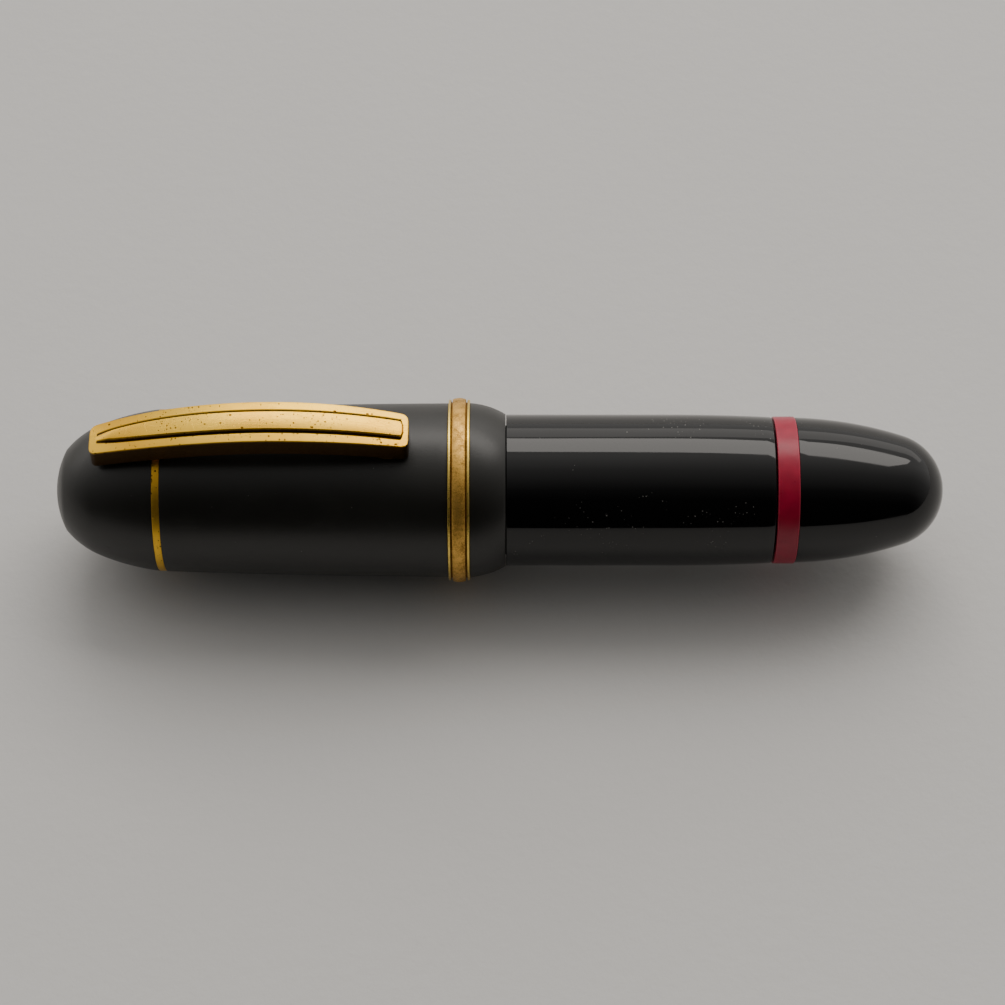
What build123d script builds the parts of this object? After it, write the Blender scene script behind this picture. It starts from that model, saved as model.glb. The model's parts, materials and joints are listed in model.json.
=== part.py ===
from build123d import *
import os

# Fountain pen with a screw cap and a piston filler, lying along X.
# The origin is on the pen's axis, in the plane where the cap's lip meets the barrel.
# +X points to the turning knob at the tail, -X to the domed end of the cap, +Z to the clip.
# All sizes are millimetres; radii are taken from the X axis.

# ---- Clearances ----
FIT_GAP = 0.05          # between pieces pressed or glued together
RUNNING_GAP = 0.10      # between pieces that turn or slide on each other
LOOSE_GAP = 0.15        # between the cap's liner and what turns around it
JOIN = 0.3              # how far a piece of a solid reaches into the one that it is joined to
OVERCUT = 1.0           # how far a cutting solid runs past what it cuts
WIDE = 9.0              # half size of a cutting block that takes in a whole small part

# ---- Filler mechanism ----
ROD_RADIUS = 2.9
ROD_SPARE = 2.7         # rod behind the nut's ribs when the piston is fully forward
ROD_FLAT_HEIGHT = 4.2   # across the two flats that stop the rod from turning
ROD_NOSE = 2.2          # rod in front of the housing with the piston fully back
ROD_CHAMFER = 0.4
SCREW_LEAD = 4.0
SCREW_STARTS = 2
SCREW_DEPTH = 0.5
SCREW_GROOVE_WIDTH = 1.3
SCREW_RIB_WIDTH = 0.9
SCREW_RUNOUT = 1.0
NUT_WALL = 1.2
NUT_FLANGE_STEP = 0.7
NUT_FLANGE_THICKNESS = 1.5
NUT_COLLAR_LENGTH = 1.3     # nut in front of its flange
NUT_RIB_INSET = 0.6
HOUSING_WALL = 1.55
HOUSING_LENGTH = 9.8
HOUSING_END_WALL = 2.4
RETAINER_THICKNESS = 1.5
PISTON_STROKE = 14.0
PISTON_LENGTH = 3.8
SEAL_THICKNESS = 1.6
SEAL_RECESS = 1.3           # radial depth of the seal's seat in the head
SEAL_SETBACK = 0.3          # land between the head's nose and the seal
SEAL_EDGE_LENGTH = 0.25
SEAL_EDGE_DROP = 0.15       # chamfer at the seal's ends
SEAL_WAIST_HALF = 0.15
SEAL_WAIST_DROP = 0.25      # groove between the seal's two lips
PISTON_GAP = 0.2            # head to chamber, which the seal closes
PISTON_NOSE_CHAMFER = 0.9
PISTON_SCREW_RADIUS = 0.9
PISTON_SCREW_HEAD_RADIUS = 1.7
PISTON_SCREW_HEAD = 0.9
PISTON_SCREW_LENGTH = 5.0
DRIVER_SLOT_DEPTH = 0.45
DRIVER_SLOT_HALF_WIDTH = 0.25
HOUSING_GASKET_BACK = 1.0   # behind the housing's end wall

# ---- Barrel and knob ----
SEAT_STEP = 0.3             # shoulder that the filler housing seats on
BARREL_WALL = 1.8
BARREL_LENGTH = 28.3
BARREL_TAPER_LENGTH = 9.8
BARREL_TAPER = 0.27
TAPER_MIDDLE_ALONG = 0.55   # a point of the taper's curve: share of its length
TAPER_MIDDLE_LOST = 0.33    # and share of its radius lost by there
HOUSING_RECESS = 0.3        # housing's tail below the barrel's tail face
RING_GAP = 0.2
RED_RING_WIDTH = 2.3
RED_RING_EDGE = 0.12
RED_RING_STEP = 0.05        # ring proud of the barrel's tail
KNOB_STEP = 0.10            # knob below the ring
KNOB_LENGTH = 16.0
KNOB_NOSE_DEPTH = 4.5       # length of the ball nose
KNOB_NOSE_STEP = 1.88       # radius lost from the knob's mouth to the nose
KNOB_BULGE = 0.42
KNOB_HUB_LENGTH = 2.0
KNOB_BORE_GAP = 0.5
KNOB_ROD_ROOM = 1.5         # knob's cavity behind the rod
KNOB_EDGE = 0.1
NOSE_SHARE = 0.3            # place of the point that guides a ball nose's arc, share of its depth

# ---- Neck, grip and nib ----
NECK_LENGTH = 8.5
NECK_STEP = 1.2             # barrel radius to thread root
NECK_BORE_STEP = 0.8        # chamber to the narrower bore of the neck
NECK_TENON_ROOM = 0.5       # narrow bore behind the grip's tenon
THREAD_SINK = 0.15          # thread's root inside the neck
THREAD_DEPTH = 0.35
THREAD_LEAD = 3.0
THREAD_STARTS = 3
THREAD_WIDTH = 0.62
THREAD_RUNOUT = 1.2
GRIP_LENGTH = 15.5
GRIP_FLANGE_STEP = 1.0
GRIP_FLANGE_LENGTH = 1.0
GRIP_WALL = 1.7             # at the waist
GRIP_LIP = 0.5
GRIP_LIP_LENGTH = 1.6
GRIP_LIP_ROUND = 0.2        # radius that the lip has still to gain at its start
GRIP_MOUTH_ROUND = 0.5
GRIP_MOUTH_ROUND_LENGTH = 0.7
GRIP_TENON_LENGTH = 5.5     # the part of the grip inside the neck
GASKET_RADIUS = 0.35
FEED_RADIUS = 2.9
FEED_TAIL_RADIUS = 2.5
FEED_TAIL_LENGTH = 8.0
FEED_HOLD_LENGTH = 11.0     # inside the collar
FEED_HOLD_ROOM = 0.5        # collar's bore behind the collar
FEED_NOSE = 0.4
KEEL_DROP = 0.5             # axis down to the keel that fills the collar under the nib
FEED_TIP_RADIUS = 0.85
FEED_SETBACK = 2.2          # from the nib's tip back to the feed's tip
FIN_COUNT = 7
FIN_START = 1.0             # first slot behind the start of the taper
FIN_TOP = 0.2               # slots stop this far above the axis
FIN_PITCH = 0.85
FIN_SLOT = 0.4
FIN_DEPTH = 0.8
INK_CHANNEL_WIDTH = 0.4
INK_CHANNEL_DEPTH = 0.6
NIB_THICKNESS = 0.3
NIB_REACH = 13.0            # from the grip's mouth to the tip
NIB_TAIL_LENGTH = 8.0       # inside the collar
NIB_TAPER_START = 2.5       # from the mouth to where the nib starts to narrow
NIB_SHOULDER_BACK = 0.5     # widest place behind the start of the taper
NIB_SHOULDER_STEP = 0.45    # nib's radius to its half width at the shoulder
NIB_TIP_RADIUS = 1.35
NIB_TIP_HALF_WIDTH = 0.4
NIB_SLIT = 0.12
BREATHER_RADIUS = 0.45
BREATHER_BACK = 8.2         # from the tip back to the breather hole
TIPPING_RADIUS = 0.38
TIPPING_LENGTH = 0.6
COLLAR_WALL = 0.3
COLLAR_SETBACK = 0.3

# ---- Cap ----
NIB_ROOM = 5.2              # from the nib's tip to the liner's end wall
LINER_END_WALL = 1.2
LINER_SEAL_STEP = 0.7       # liner's bore inside the grip's lip, so that its mouth meets the grip's
LINER_COLLAR = 1.0
LINER_COLLAR_TAPER = 2.0
LINER_CHAMFER = 0.6
LINER_MOUTH_GAP = 0.1
LINER_END_GAP = 0.2
DOME_CROWN = 4.5            # solid end of the dome
DOME_LENGTH = 11.0
DOME_NOSE_DEPTH = 1.1
DOME_NOSE_STEP = 4.25       # ring radius to the edge of the ball nose
DOME_CHEEK_BACK = 2.41      # three more points of the dome's curve: distance from the tip
DOME_CHEEK_STEP = 2.97      # and ring radius to the curve
DOME_SHOULDER_BACK = 4.56
DOME_SHOULDER_STEP = 1.7
DOME_FLARE_BACK = 7.6
DOME_FLARE_STEP = 0.66
DOME_TENON_LENGTH = 6.1
DOME_TENON_WALL = 0.95
CLIP_RING_WIDTH = 0.8
CLIP_RING_STEP = 0.04
BUSH_GAP = 0.07             # lip bush over the crest of the neck thread
BUSH_GROOVE_DEPTH = 0.3
BUSH_WALL = 1.28
BUSH_TENON_LENGTH = 6.0
BUSH_THREAD_OVERRUN = 0.5   # bush's grooves behind the neck's end
BUSH_GROOVE_START = 0.1     # grooves start this far inside the bore
BUSH_GROOVE_EXTRA = 0.1     # grooves wider than the thread at its root
TUBE_SHOULDER = 0.15        # tube bore below the crest of the neck thread
LINER_SEAT_STEP = 0.3       # wider bore behind the tube's shoulder
CAP_WALL_MOUTH = 1.9
CAP_WALL_TOP = 1.3
CAP_BULGE = 0.12
BAND_WIDTH = 2.25
BAND_RISE = 0.58            # crown of the band above the tube
BAND_CROWN_DROP = 0.12      # crown's middle to its edges
BAND_RIM_RISE = 0.38
BAND_RIM_WIDTH = 0.25
BAND_GROOVE_WIDTH = 0.18
BAND_GROOVE_RISE = 0.13
LIP_LENGTH = 3.8
LIP_GAP = 0.08
LIP_RISE = 0.05             # lip's edge above the barrel
LIP_SHOULDER_STEP = 0.03    # lip above the tube beside the band
LIP_MIDDLE_ALONG = 0.45     # a point of the lip's curve: share of its length from the edge
LIP_MIDDLE_GAINED = 0.66    # and share of its radius gained by there

# ---- Clip ----
CLIP_OVERHANG = 6.8         # from the ring's middle to the end over the dome
CLIP_BAND_GAP = 4.05        # from the free end to the band
CLIP_ARCH_RADIUS = 51.52
CLIP_FREE_GAP = 0.29        # lower edge of the walls above the tube's top line, at the free end
CLIP_DOME_DIP = 1.0         # lower edge of the walls below the tube's top line, over the dome
CLIP_WALL_HEIGHT = 2.6
CLIP_SHEET = 0.45
CLIP_CORNER = 0.7
CLIP_HALF_WIDTH = 2.35
CLIP_DOME_HALF_WIDTH = 1.65
CLIP_FREE_HALF_WIDTH = 1.95
RIB_HEIGHT = 0.38
RIB_HALF_WIDTH = 1.15
RIB_FREE_HALF_WIDTH = 0.85
RIB_MARGIN = 0.5
RIB_END_ROUND = 0.4
RIB_FULL_FORWARD = 6.0      # widest place of the rib, from the clip's highest line
RIB_POINT_LENGTH = 2.5
RIB_POINT_HALF_WIDTH = 0.62
FOOT_RADIUS = 1.78
FOOT_HALF_WIDTH = 1.9
FOOT_FROM_END = 2.1
FOOT_GAP = 0.06
PIN_RADIUS = 0.5
PIN_DEPTH = 1.9             # pin's axis below the clip's top line
LUG_HALF_WIDTH = 1.0
LUG_LENGTH = 1.7
LUG_NECK_SINK = 0.5         # lug's neck above the ring's bore
LUG_FOOT_RISE = 0.4         # lug's wide part above the ring
PIN_INSET = 0.1             # pin's ends inside the clip's walls
PIN_PRESS_GAP = 0.01
SPRING_THICKNESS = 0.2
SPRING_HALF_WIDTH = 0.75
SPRING_REACH = 4.6
SPRING_GAP = 0.45
SPRING_ROOT_DROP = 0.6      # below the pin's axis
SPRING_BEND_LENGTH = 0.6
SPRING_BEND_HEIGHT = 0.5
SPRING_BEND_MIDDLE = (0.27, 0.33)
SPRING_BEND_DIP = 0.05

# ---- Radii, worked from the inside out ----
nut_bore = ROD_RADIUS + RUNNING_GAP
nut_radius = nut_bore + NUT_WALL
nut_flange_radius = nut_radius + NUT_FLANGE_STEP
housing_bore = nut_flange_radius + RUNNING_GAP
housing_radius = housing_bore + HOUSING_WALL
seat_bore = housing_radius + FIT_GAP
chamber_bore = seat_bore - SEAT_STEP
barrel_radius = chamber_bore + BARREL_WALL
barrel_tail_radius = barrel_radius - BARREL_TAPER
neck_radius = barrel_radius - NECK_STEP
thread_radius = neck_radius + THREAD_DEPTH
neck_bore = chamber_bore - NECK_BORE_STEP

nib_inner_radius = FEED_RADIUS + FIT_GAP
nib_radius = nib_inner_radius + NIB_THICKNESS
collar_bore = nib_radius + FIT_GAP
collar_radius = collar_bore + COLLAR_WALL
grip_bore = collar_radius + FIT_GAP
feed_tail_bore = FEED_TAIL_RADIUS + FIT_GAP
grip_waist_radius = grip_bore + GRIP_WALL
grip_lip_radius = grip_waist_radius + GRIP_LIP
grip_flange_radius = neck_bore + GRIP_FLANGE_STEP
grip_tenon_radius = neck_bore - FIT_GAP

bush_bore = thread_radius + BUSH_GAP
bush_radius = bush_bore + BUSH_WALL
tube_front_bore = bush_radius + FIT_GAP
tube_bore = thread_radius - TUBE_SHOULDER
tube_rear_bore = tube_bore + LINER_SEAT_STEP
cap_mouth_radius = tube_rear_bore + CAP_WALL_MOUTH
cap_top_radius = tube_rear_bore + CAP_WALL_TOP
clip_ring_radius = cap_top_radius - CLIP_RING_STEP
dome_tenon_radius = tube_rear_bore - FIT_GAP
dome_bore = dome_tenon_radius - DOME_TENON_WALL
liner_radius = dome_bore - LOOSE_GAP
liner_bore = grip_lip_radius - LINER_SEAL_STEP
liner_collar_radius = tube_rear_bore - RUNNING_GAP
liner_neck_radius = tube_bore - 2 * RUNNING_GAP
band_crown_radius = cap_mouth_radius + BAND_RISE
band_rim_radius = cap_mouth_radius + BAND_RIM_RISE
band_groove_radius = cap_mouth_radius + BAND_GROOVE_RISE

red_ring_radius = barrel_tail_radius + RED_RING_STEP
knob_radius = red_ring_radius - KNOB_STEP
knob_nose_edge = knob_radius - KNOB_NOSE_STEP
knob_bore = ROD_RADIUS + KNOB_BORE_GAP
hub_bore = nut_radius + FIT_GAP

# ---- Places along X ----
housing_tail = BARREL_LENGTH - HOUSING_RECESS
housing_front = housing_tail - HOUSING_LENGTH
nut_front = housing_front + HOUSING_END_WALL + RUNNING_GAP
nut_flange_front = nut_front + NUT_COLLAR_LENGTH
nut_flange_back = nut_flange_front + NUT_FLANGE_THICKNESS
nut_rib_front = nut_front + NUT_RIB_INSET
nut_rib_back = nut_rib_front + SCREW_LEAD / SCREW_STARTS
retainer_front = nut_flange_back + RUNNING_GAP
retainer_back = retainer_front + RETAINER_THICKNESS
red_ring_front = BARREL_LENGTH + RING_GAP
knob_front = red_ring_front + RED_RING_WIDTH
hub_back = knob_front + KNOB_HUB_LENGTH
knob_tip = knob_front + KNOB_LENGTH
knob_nose_start = knob_tip - KNOB_NOSE_DEPTH

tenon_back = GRIP_TENON_LENGTH - NECK_LENGTH
chamber_front = tenon_back + NECK_TENON_ROOM
chamber_full_front = chamber_front + NECK_BORE_STEP
rod_front = housing_front - ROD_NOSE
rod_back = nut_rib_back + PISTON_STROKE + ROD_SPARE
piston_front = rod_front - PISTON_LENGTH

grip_mouth = -NECK_LENGTH - GRIP_LENGTH
nib_tip = grip_mouth - NIB_REACH
liner_mouth = grip_mouth - LINER_MOUTH_GAP
liner_end_inside = nib_tip - NIB_ROOM
liner_end = liner_end_inside - LINER_END_WALL
dome_cavity_end = liner_end - LINER_END_GAP
cap_tip = dome_cavity_end - DOME_CROWN
dome_back = cap_tip + DOME_LENGTH
tube_back = dome_back + CLIP_RING_WIDTH
dome_tenon_end = dome_back + DOME_TENON_LENGTH
liner_collar_back = dome_tenon_end + RUNNING_GAP
liner_collar_front = liner_collar_back + LINER_COLLAR
tube_shoulder = liner_collar_front + RUNNING_GAP
lip_front = -LIP_GAP
band_front = lip_front - LIP_LENGTH
band_back = band_front - BAND_WIDTH
bush_back = band_back - BUSH_TENON_LENGTH

clip_ring_middle = dome_back + CLIP_RING_WIDTH / 2
clip_dome_end = clip_ring_middle - CLIP_OVERHANG
clip_free_end = band_back - CLIP_BAND_GAP
foot_x = clip_free_end - FOOT_FROM_END

# The clip's arch is the circle of CLIP_ARCH_RADIUS through the tops of its two ends.
clip_dome_height = cap_top_radius - CLIP_DOME_DIP + CLIP_WALL_HEIGHT
clip_free_height = cap_mouth_radius + CLIP_FREE_GAP + CLIP_WALL_HEIGHT
clip_span = clip_free_end - clip_dome_end
clip_climb = clip_free_height - clip_dome_height
clip_chord = (clip_span**2 + clip_climb**2) ** 0.5
clip_centre_depth = (CLIP_ARCH_RADIUS**2 - clip_chord**2 / 4) ** 0.5
clip_peak_x = (clip_dome_end + clip_free_end) / 2 + clip_centre_depth * clip_climb / clip_chord
clip_centre_height = (clip_dome_height + clip_free_height) / 2 - clip_centre_depth * clip_span / clip_chord
clip_peak_height = clip_centre_height + CLIP_ARCH_RADIUS


def clip_height(x):
    """Height of the clip's top line above the pen's axis."""
    return clip_centre_height + (CLIP_ARCH_RADIUS**2 - (x - clip_peak_x) ** 2) ** 0.5


def tube_radius(x):
    """Outer radius of the cap's tube, which swells a little between its ends."""
    share = (x - tube_back) / (band_back - tube_back)
    straight = cap_top_radius + share * (cap_mouth_radius - cap_top_radius)
    return straight + CAP_BULGE * 4 * share * (1 - share)


pin_height = clip_height(clip_ring_middle) - PIN_DEPTH


def turned(start, *steps):
    """Solid turned about X. A step is the next (x, radius) corner, or a pair (through, end) of an arc."""
    edges = []
    here = start
    for step in steps + (start,):
        if isinstance(step[0], tuple):
            edges.append(ThreePointArc(here, step[0], step[1]))
            here = step[1]
        elif step != here:
            edges.append(Line(here, step))
            here = step
    return revolve(make_face(edges), Axis.X)


def ball_nose(depth, edge):
    """Depth and radius of a point on a ball nose, which ends at `depth` with the radius `edge`."""
    ball = (edge**2 + depth**2) / (2 * depth)
    inside = NOSE_SHARE * depth
    return inside, (2 * ball * inside - inside**2) ** 0.5


def tube(x_from, x_to, outer, inner=0.0):
    """Plain ring or disc between two places along X."""
    return turned((x_from, inner), (x_from, outer), (x_to, outer), (x_to, inner))


def block(x_from, x_to, y_from, y_to, z_from, z_to):
    """Box between two corners."""
    size = (x_to - x_from, y_to - y_from, z_to - z_from)
    middle = ((x_from + x_to) / 2, (y_from + y_to) / 2, (z_from + z_to) / 2)
    return Pos(*middle) * Box(*size)


def windings(x_from, x_to, lead, starts, root, crest, root_width, crest_width):
    """Right-hand helical ribs about X, from the root radius to the crest radius, in step with X = 0."""
    path = Helix(pitch=lead, height=x_to - x_from, radius=root)
    at_start = Plane(origin=path @ 0, x_dir=(1, 0, 0), z_dir=path % 0)
    corners = [(0, -root_width / 2), (crest - root, -crest_width / 2),
               (crest - root, crest_width / 2), (0, root_width / 2)]
    rib = sweep(at_start * make_face(Polyline(*corners, close=True)), path=path, is_frenet=True)
    phase = 360 * x_from / lead
    lying = Pos(x_from, 0, 0) * Rot(0, 90, 0) * rib
    return [Rot(phase + 360 * turn / starts, 0, 0) * lying for turn in range(starts)]


# ---- Barrel group ----
def make_barrel():
    taper_start = BARREL_LENGTH - BARREL_TAPER_LENGTH
    taper_middle = (taper_start + TAPER_MIDDLE_ALONG * BARREL_TAPER_LENGTH,
                    barrel_radius - TAPER_MIDDLE_LOST * BARREL_TAPER)
    body = turned(
        (-NECK_LENGTH, neck_bore), (-NECK_LENGTH, neck_radius), (0, neck_radius), (0, barrel_radius),
        (taper_start, barrel_radius), (taper_middle, (BARREL_LENGTH, barrel_tail_radius)),
        (BARREL_LENGTH, seat_bore), (housing_front, seat_bore), (housing_front, chamber_bore),
        (chamber_full_front, chamber_bore), (chamber_front, neck_bore))
    thread = windings(-NECK_LENGTH + THREAD_RUNOUT, -THREAD_RUNOUT, THREAD_LEAD, THREAD_STARTS,
                      neck_radius - THREAD_SINK, thread_radius, THREAD_WIDTH, THREAD_WIDTH / 2)
    return body + thread


def gasket_seat(x, outer):
    """Groove for a gasket, sunk into a surface of the given radius."""
    half = GASKET_RADIUS + FIT_GAP
    return tube(x - half, x + half, outer + OVERCUT, outer - 2 * GASKET_RADIUS)


def gasket(x, bore):
    """Round ring that fills its groove up to the bore around it."""
    return revolve(Pos(x, bore - FIT_GAP - GASKET_RADIUS) * Circle(GASKET_RADIUS), Axis.X)


grip_gasket_x = (tenon_back - NECK_LENGTH) / 2
housing_gasket_x = housing_front + HOUSING_END_WALL + HOUSING_GASKET_BACK


def make_grip():
    flange_end = -NECK_LENGTH - GRIP_FLANGE_LENGTH
    lip_start = grip_mouth + GRIP_LIP_LENGTH
    waist_x = (flange_end + 2 * lip_start) / 3
    bore_end = grip_mouth + FEED_HOLD_LENGTH + FEED_HOLD_ROOM
    body = turned(
        (tenon_back, feed_tail_bore), (tenon_back, grip_tenon_radius), (-NECK_LENGTH, grip_tenon_radius),
        (-NECK_LENGTH, grip_flange_radius), (flange_end, grip_flange_radius),
        ((waist_x, grip_waist_radius), (lip_start, grip_lip_radius - GRIP_LIP_ROUND)),
        ((grip_mouth + GRIP_MOUTH_ROUND_LENGTH, grip_lip_radius),
         (grip_mouth, grip_lip_radius - GRIP_MOUTH_ROUND)),
        (grip_mouth, grip_bore), (bore_end, grip_bore), (bore_end, feed_tail_bore))
    return body - gasket_seat(grip_gasket_x, grip_tenon_radius)


def make_nib_collar():
    return tube(grip_mouth + COLLAR_SETBACK, grip_mouth + FEED_HOLD_LENGTH, collar_radius, collar_bore)


def taper_radius(x, tip_radius, full_radius, tip_x):
    """Radius at x of a cone that is full where the nib's taper starts and narrows to tip_x."""
    start = grip_mouth - NIB_TAPER_START
    return full_radius + (tip_radius - full_radius) * (start - x) / (start - tip_x)


def make_feed():
    start = grip_mouth - NIB_TAPER_START
    tip = nib_tip + FEED_SETBACK
    hold_back = grip_mouth + FEED_HOLD_LENGTH
    body = turned(
        (hold_back + FEED_TAIL_LENGTH, 0), (hold_back + FEED_TAIL_LENGTH, FEED_TAIL_RADIUS),
        (hold_back, FEED_TAIL_RADIUS), (hold_back, FEED_RADIUS), (start, FEED_RADIUS),
        (tip, FEED_TIP_RADIUS), (tip - FEED_NOSE, 0))
    keel = tube(grip_mouth, hold_back, nib_radius)
    keel = keel & block(grip_mouth, hold_back, -WIDE, WIDE, -WIDE, -KEEL_DROP)
    body = body + keel
    for count in range(FIN_COUNT):
        x = start + FIN_START - count * FIN_PITCH
        floor = taper_radius(x, FEED_TIP_RADIUS, FEED_RADIUS, tip) - FIN_DEPTH
        slot = tube(x - FIN_SLOT, x, FEED_RADIUS + OVERCUT, floor)
        body = body - (slot & block(x - OVERCUT, x + OVERCUT, -WIDE, WIDE, -WIDE, FIN_TOP))
    channel = block(tip, hold_back + FEED_TAIL_LENGTH, -INK_CHANNEL_WIDTH / 2, INK_CHANNEL_WIDTH / 2,
                    FEED_TAIL_RADIUS - INK_CHANNEL_DEPTH, FEED_RADIUS + OVERCUT)
    return body - channel


def make_nib():
    start = grip_mouth - NIB_TAPER_START
    back = grip_mouth + NIB_TAIL_LENGTH
    end = nib_tip + TIPPING_LENGTH
    tip_inner = NIB_TIP_RADIUS - NIB_THICKNESS
    shell = turned((back, nib_inner_radius), (back, nib_radius), (start, nib_radius),
                   (end, NIB_TIP_RADIUS), (end, tip_inner), (start, nib_inner_radius))
    half = nib_radius - NIB_SHOULDER_STEP
    shoulder = start + NIB_SHOULDER_BACK
    outline = Polyline((back, -half), (shoulder, -half), (end, -NIB_TIP_HALF_WIDTH),
                       (end, NIB_TIP_HALF_WIDTH), (shoulder, half), (back, half), close=True)
    blade = shell & extrude(make_face(outline), nib_radius + OVERCUT)
    breather_x = nib_tip + BREATHER_BACK
    breather = Pos(breather_x, 0, nib_radius) * Cylinder(BREATHER_RADIUS, 4 * OVERCUT)
    slit = block(end - OVERCUT, breather_x, -NIB_SLIT / 2, NIB_SLIT / 2, 0, nib_radius + OVERCUT)
    return blade - breather - slit


def make_nib_tipping():
    middle = NIB_TIP_RADIUS - NIB_THICKNESS / 2
    end = nib_tip + TIPPING_LENGTH
    inside, nose_radius = ball_nose(TIPPING_RADIUS, TIPPING_RADIUS)
    pellet = turned((0, 0), (0, TIPPING_RADIUS), (TIPPING_RADIUS - TIPPING_LENGTH, TIPPING_RADIUS),
                    ((inside - TIPPING_LENGTH, nose_radius), (-TIPPING_LENGTH, 0)))
    slit = block(-OVERCUT, OVERCUT, -NIB_SLIT / 2, NIB_SLIT / 2, -OVERCUT, OVERCUT)
    return Pos(end, 0, middle) * (pellet - slit)


def make_filler_housing():
    wall_back = housing_front + HOUSING_END_WALL
    body = turned((housing_front, 0), (housing_front, housing_radius), (housing_tail, housing_radius),
                  (housing_tail, housing_bore), (wall_back, housing_bore), (wall_back, 0))
    half_flat = ROD_FLAT_HEIGHT / 2 + RUNNING_GAP
    keyed_hole = tube(housing_front, wall_back, nut_bore) & block(
        housing_front, wall_back, -nut_bore, nut_bore, -half_flat, half_flat)
    return body - keyed_hole - gasket_seat(housing_gasket_x, housing_radius)


def make_retaining_ring():
    return tube(retainer_front, retainer_back, housing_bore - FIT_GAP, nut_radius + RUNNING_GAP)


# ---- Piston group ----
def make_piston_rod():
    body = turned((rod_front, 0), (rod_front, ROD_RADIUS), (rod_back - ROD_CHAMFER, ROD_RADIUS),
                  (rod_back, ROD_RADIUS - ROD_CHAMFER), (rod_back, 0))
    root = ROD_RADIUS - SCREW_DEPTH
    grooves = windings(rod_front + SCREW_RUNOUT, rod_back - 1.5 * SCREW_RUNOUT, SCREW_LEAD, SCREW_STARTS,
                       root, ROD_RADIUS + JOIN, SCREW_GROOVE_WIDTH, SCREW_GROOVE_WIDTH)
    for groove in grooves:
        body = body - groove
    half_flat = ROD_FLAT_HEIGHT / 2
    body = body & block(rod_front, rod_back, -WIDE, WIDE, -half_flat, half_flat)
    screw_end = piston_front + PISTON_SCREW_HEAD + PISTON_SCREW_LENGTH
    return body - tube(rod_front, screw_end + RUNNING_GAP, PISTON_SCREW_RADIUS + FIT_GAP)


seal_front = piston_front + PISTON_NOSE_CHAMFER + SEAL_SETBACK
seal_back = seal_front + SEAL_THICKNESS
piston_radius = chamber_bore - PISTON_GAP


def make_piston_head():
    nose = piston_radius - PISTON_NOSE_CHAMFER
    seat = piston_radius - SEAL_RECESS
    shaft_hole = PISTON_SCREW_RADIUS + FIT_GAP
    head_hole = PISTON_SCREW_HEAD_RADIUS + FIT_GAP
    head_back = piston_front + PISTON_SCREW_HEAD
    return turned(
        (piston_front, head_hole), (piston_front, nose), (piston_front + PISTON_NOSE_CHAMFER, piston_radius),
        (seal_front, piston_radius), (seal_front, seat), (seal_back, seat), (seal_back, piston_radius),
        (rod_front, piston_radius), (rod_front, shaft_hole), (head_back, shaft_hole), (head_back, head_hole))


def make_piston_seal():
    seat = piston_radius - SEAL_RECESS + FIT_GAP
    lip = chamber_bore - FIT_GAP
    front = seal_front + FIT_GAP
    back = seal_back - FIT_GAP
    middle = (front + back) / 2
    edge = lip - SEAL_EDGE_DROP
    return turned((front, seat), (front, edge), (front + SEAL_EDGE_LENGTH, lip),
                  (middle - SEAL_WAIST_HALF, lip),
                  ((middle, lip - SEAL_WAIST_DROP), (middle + SEAL_WAIST_HALF, lip)),
                  (back - SEAL_EDGE_LENGTH, lip), (back, edge), (back, seat))


def make_piston_screw():
    head_back = piston_front + PISTON_SCREW_HEAD
    screw = turned((piston_front, 0), (piston_front, PISTON_SCREW_HEAD_RADIUS),
                   (head_back, PISTON_SCREW_HEAD_RADIUS), (head_back, PISTON_SCREW_RADIUS),
                   (head_back + PISTON_SCREW_LENGTH, PISTON_SCREW_RADIUS), (head_back + PISTON_SCREW_LENGTH, 0))
    slot = block(piston_front, piston_front + DRIVER_SLOT_DEPTH, -WIDE, WIDE,
                 -DRIVER_SLOT_HALF_WIDTH, DRIVER_SLOT_HALF_WIDTH)
    return screw - slot


# ---- Knob group ----
def make_spindle_nut():
    body = turned(
        (nut_front, nut_bore), (nut_front, nut_radius), (nut_flange_front, nut_radius),
        (nut_flange_front, nut_flange_radius), (nut_flange_back, nut_flange_radius),
        (nut_flange_back, nut_radius), (hub_back, nut_radius), (hub_back, nut_bore))
    tip = ROD_RADIUS - SCREW_DEPTH + RUNNING_GAP
    ribs = windings(nut_rib_front, nut_rib_back, SCREW_LEAD, SCREW_STARTS, tip, nut_bore + JOIN,
                    SCREW_RIB_WIDTH, SCREW_RIB_WIDTH)
    return body + ribs


def make_red_ring():
    edge = RED_RING_EDGE
    return turned((red_ring_front, hub_bore), (red_ring_front, red_ring_radius - edge),
                  (red_ring_front + edge, red_ring_radius), (knob_front - edge, red_ring_radius),
                  (knob_front, red_ring_radius - edge), (knob_front, hub_bore))


def make_filling_knob():
    cavity_end = rod_back + KNOB_ROD_ROOM
    side_middle = ((knob_front + knob_nose_start) / 2, (knob_radius + knob_nose_edge) / 2 + KNOB_BULGE)
    nose_depth, nose_radius = ball_nose(KNOB_NOSE_DEPTH, knob_nose_edge)
    return turned(
        (knob_front, hub_bore), (knob_front, knob_radius - KNOB_EDGE), (knob_front + KNOB_EDGE, knob_radius),
        (side_middle, (knob_nose_start, knob_nose_edge)),
        ((knob_tip - nose_depth, nose_radius), (knob_tip, 0)),
        (cavity_end, 0), (cavity_end, knob_bore), (hub_back, knob_bore), (hub_back, hub_bore))


# ---- Cap group ----
def make_inner_cap():
    return turned(
        (liner_end, 0), (liner_end, liner_radius - LINER_CHAMFER), (liner_end + LINER_CHAMFER, liner_radius),
        (liner_collar_back, liner_radius), (liner_collar_back, liner_collar_radius),
        (liner_collar_front, liner_collar_radius), (liner_collar_front, liner_neck_radius),
        (liner_collar_front + LINER_COLLAR_TAPER, liner_radius), (liner_mouth, liner_radius),
        (liner_mouth, liner_bore), (liner_end_inside, liner_bore), (liner_end_inside, 0))


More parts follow.
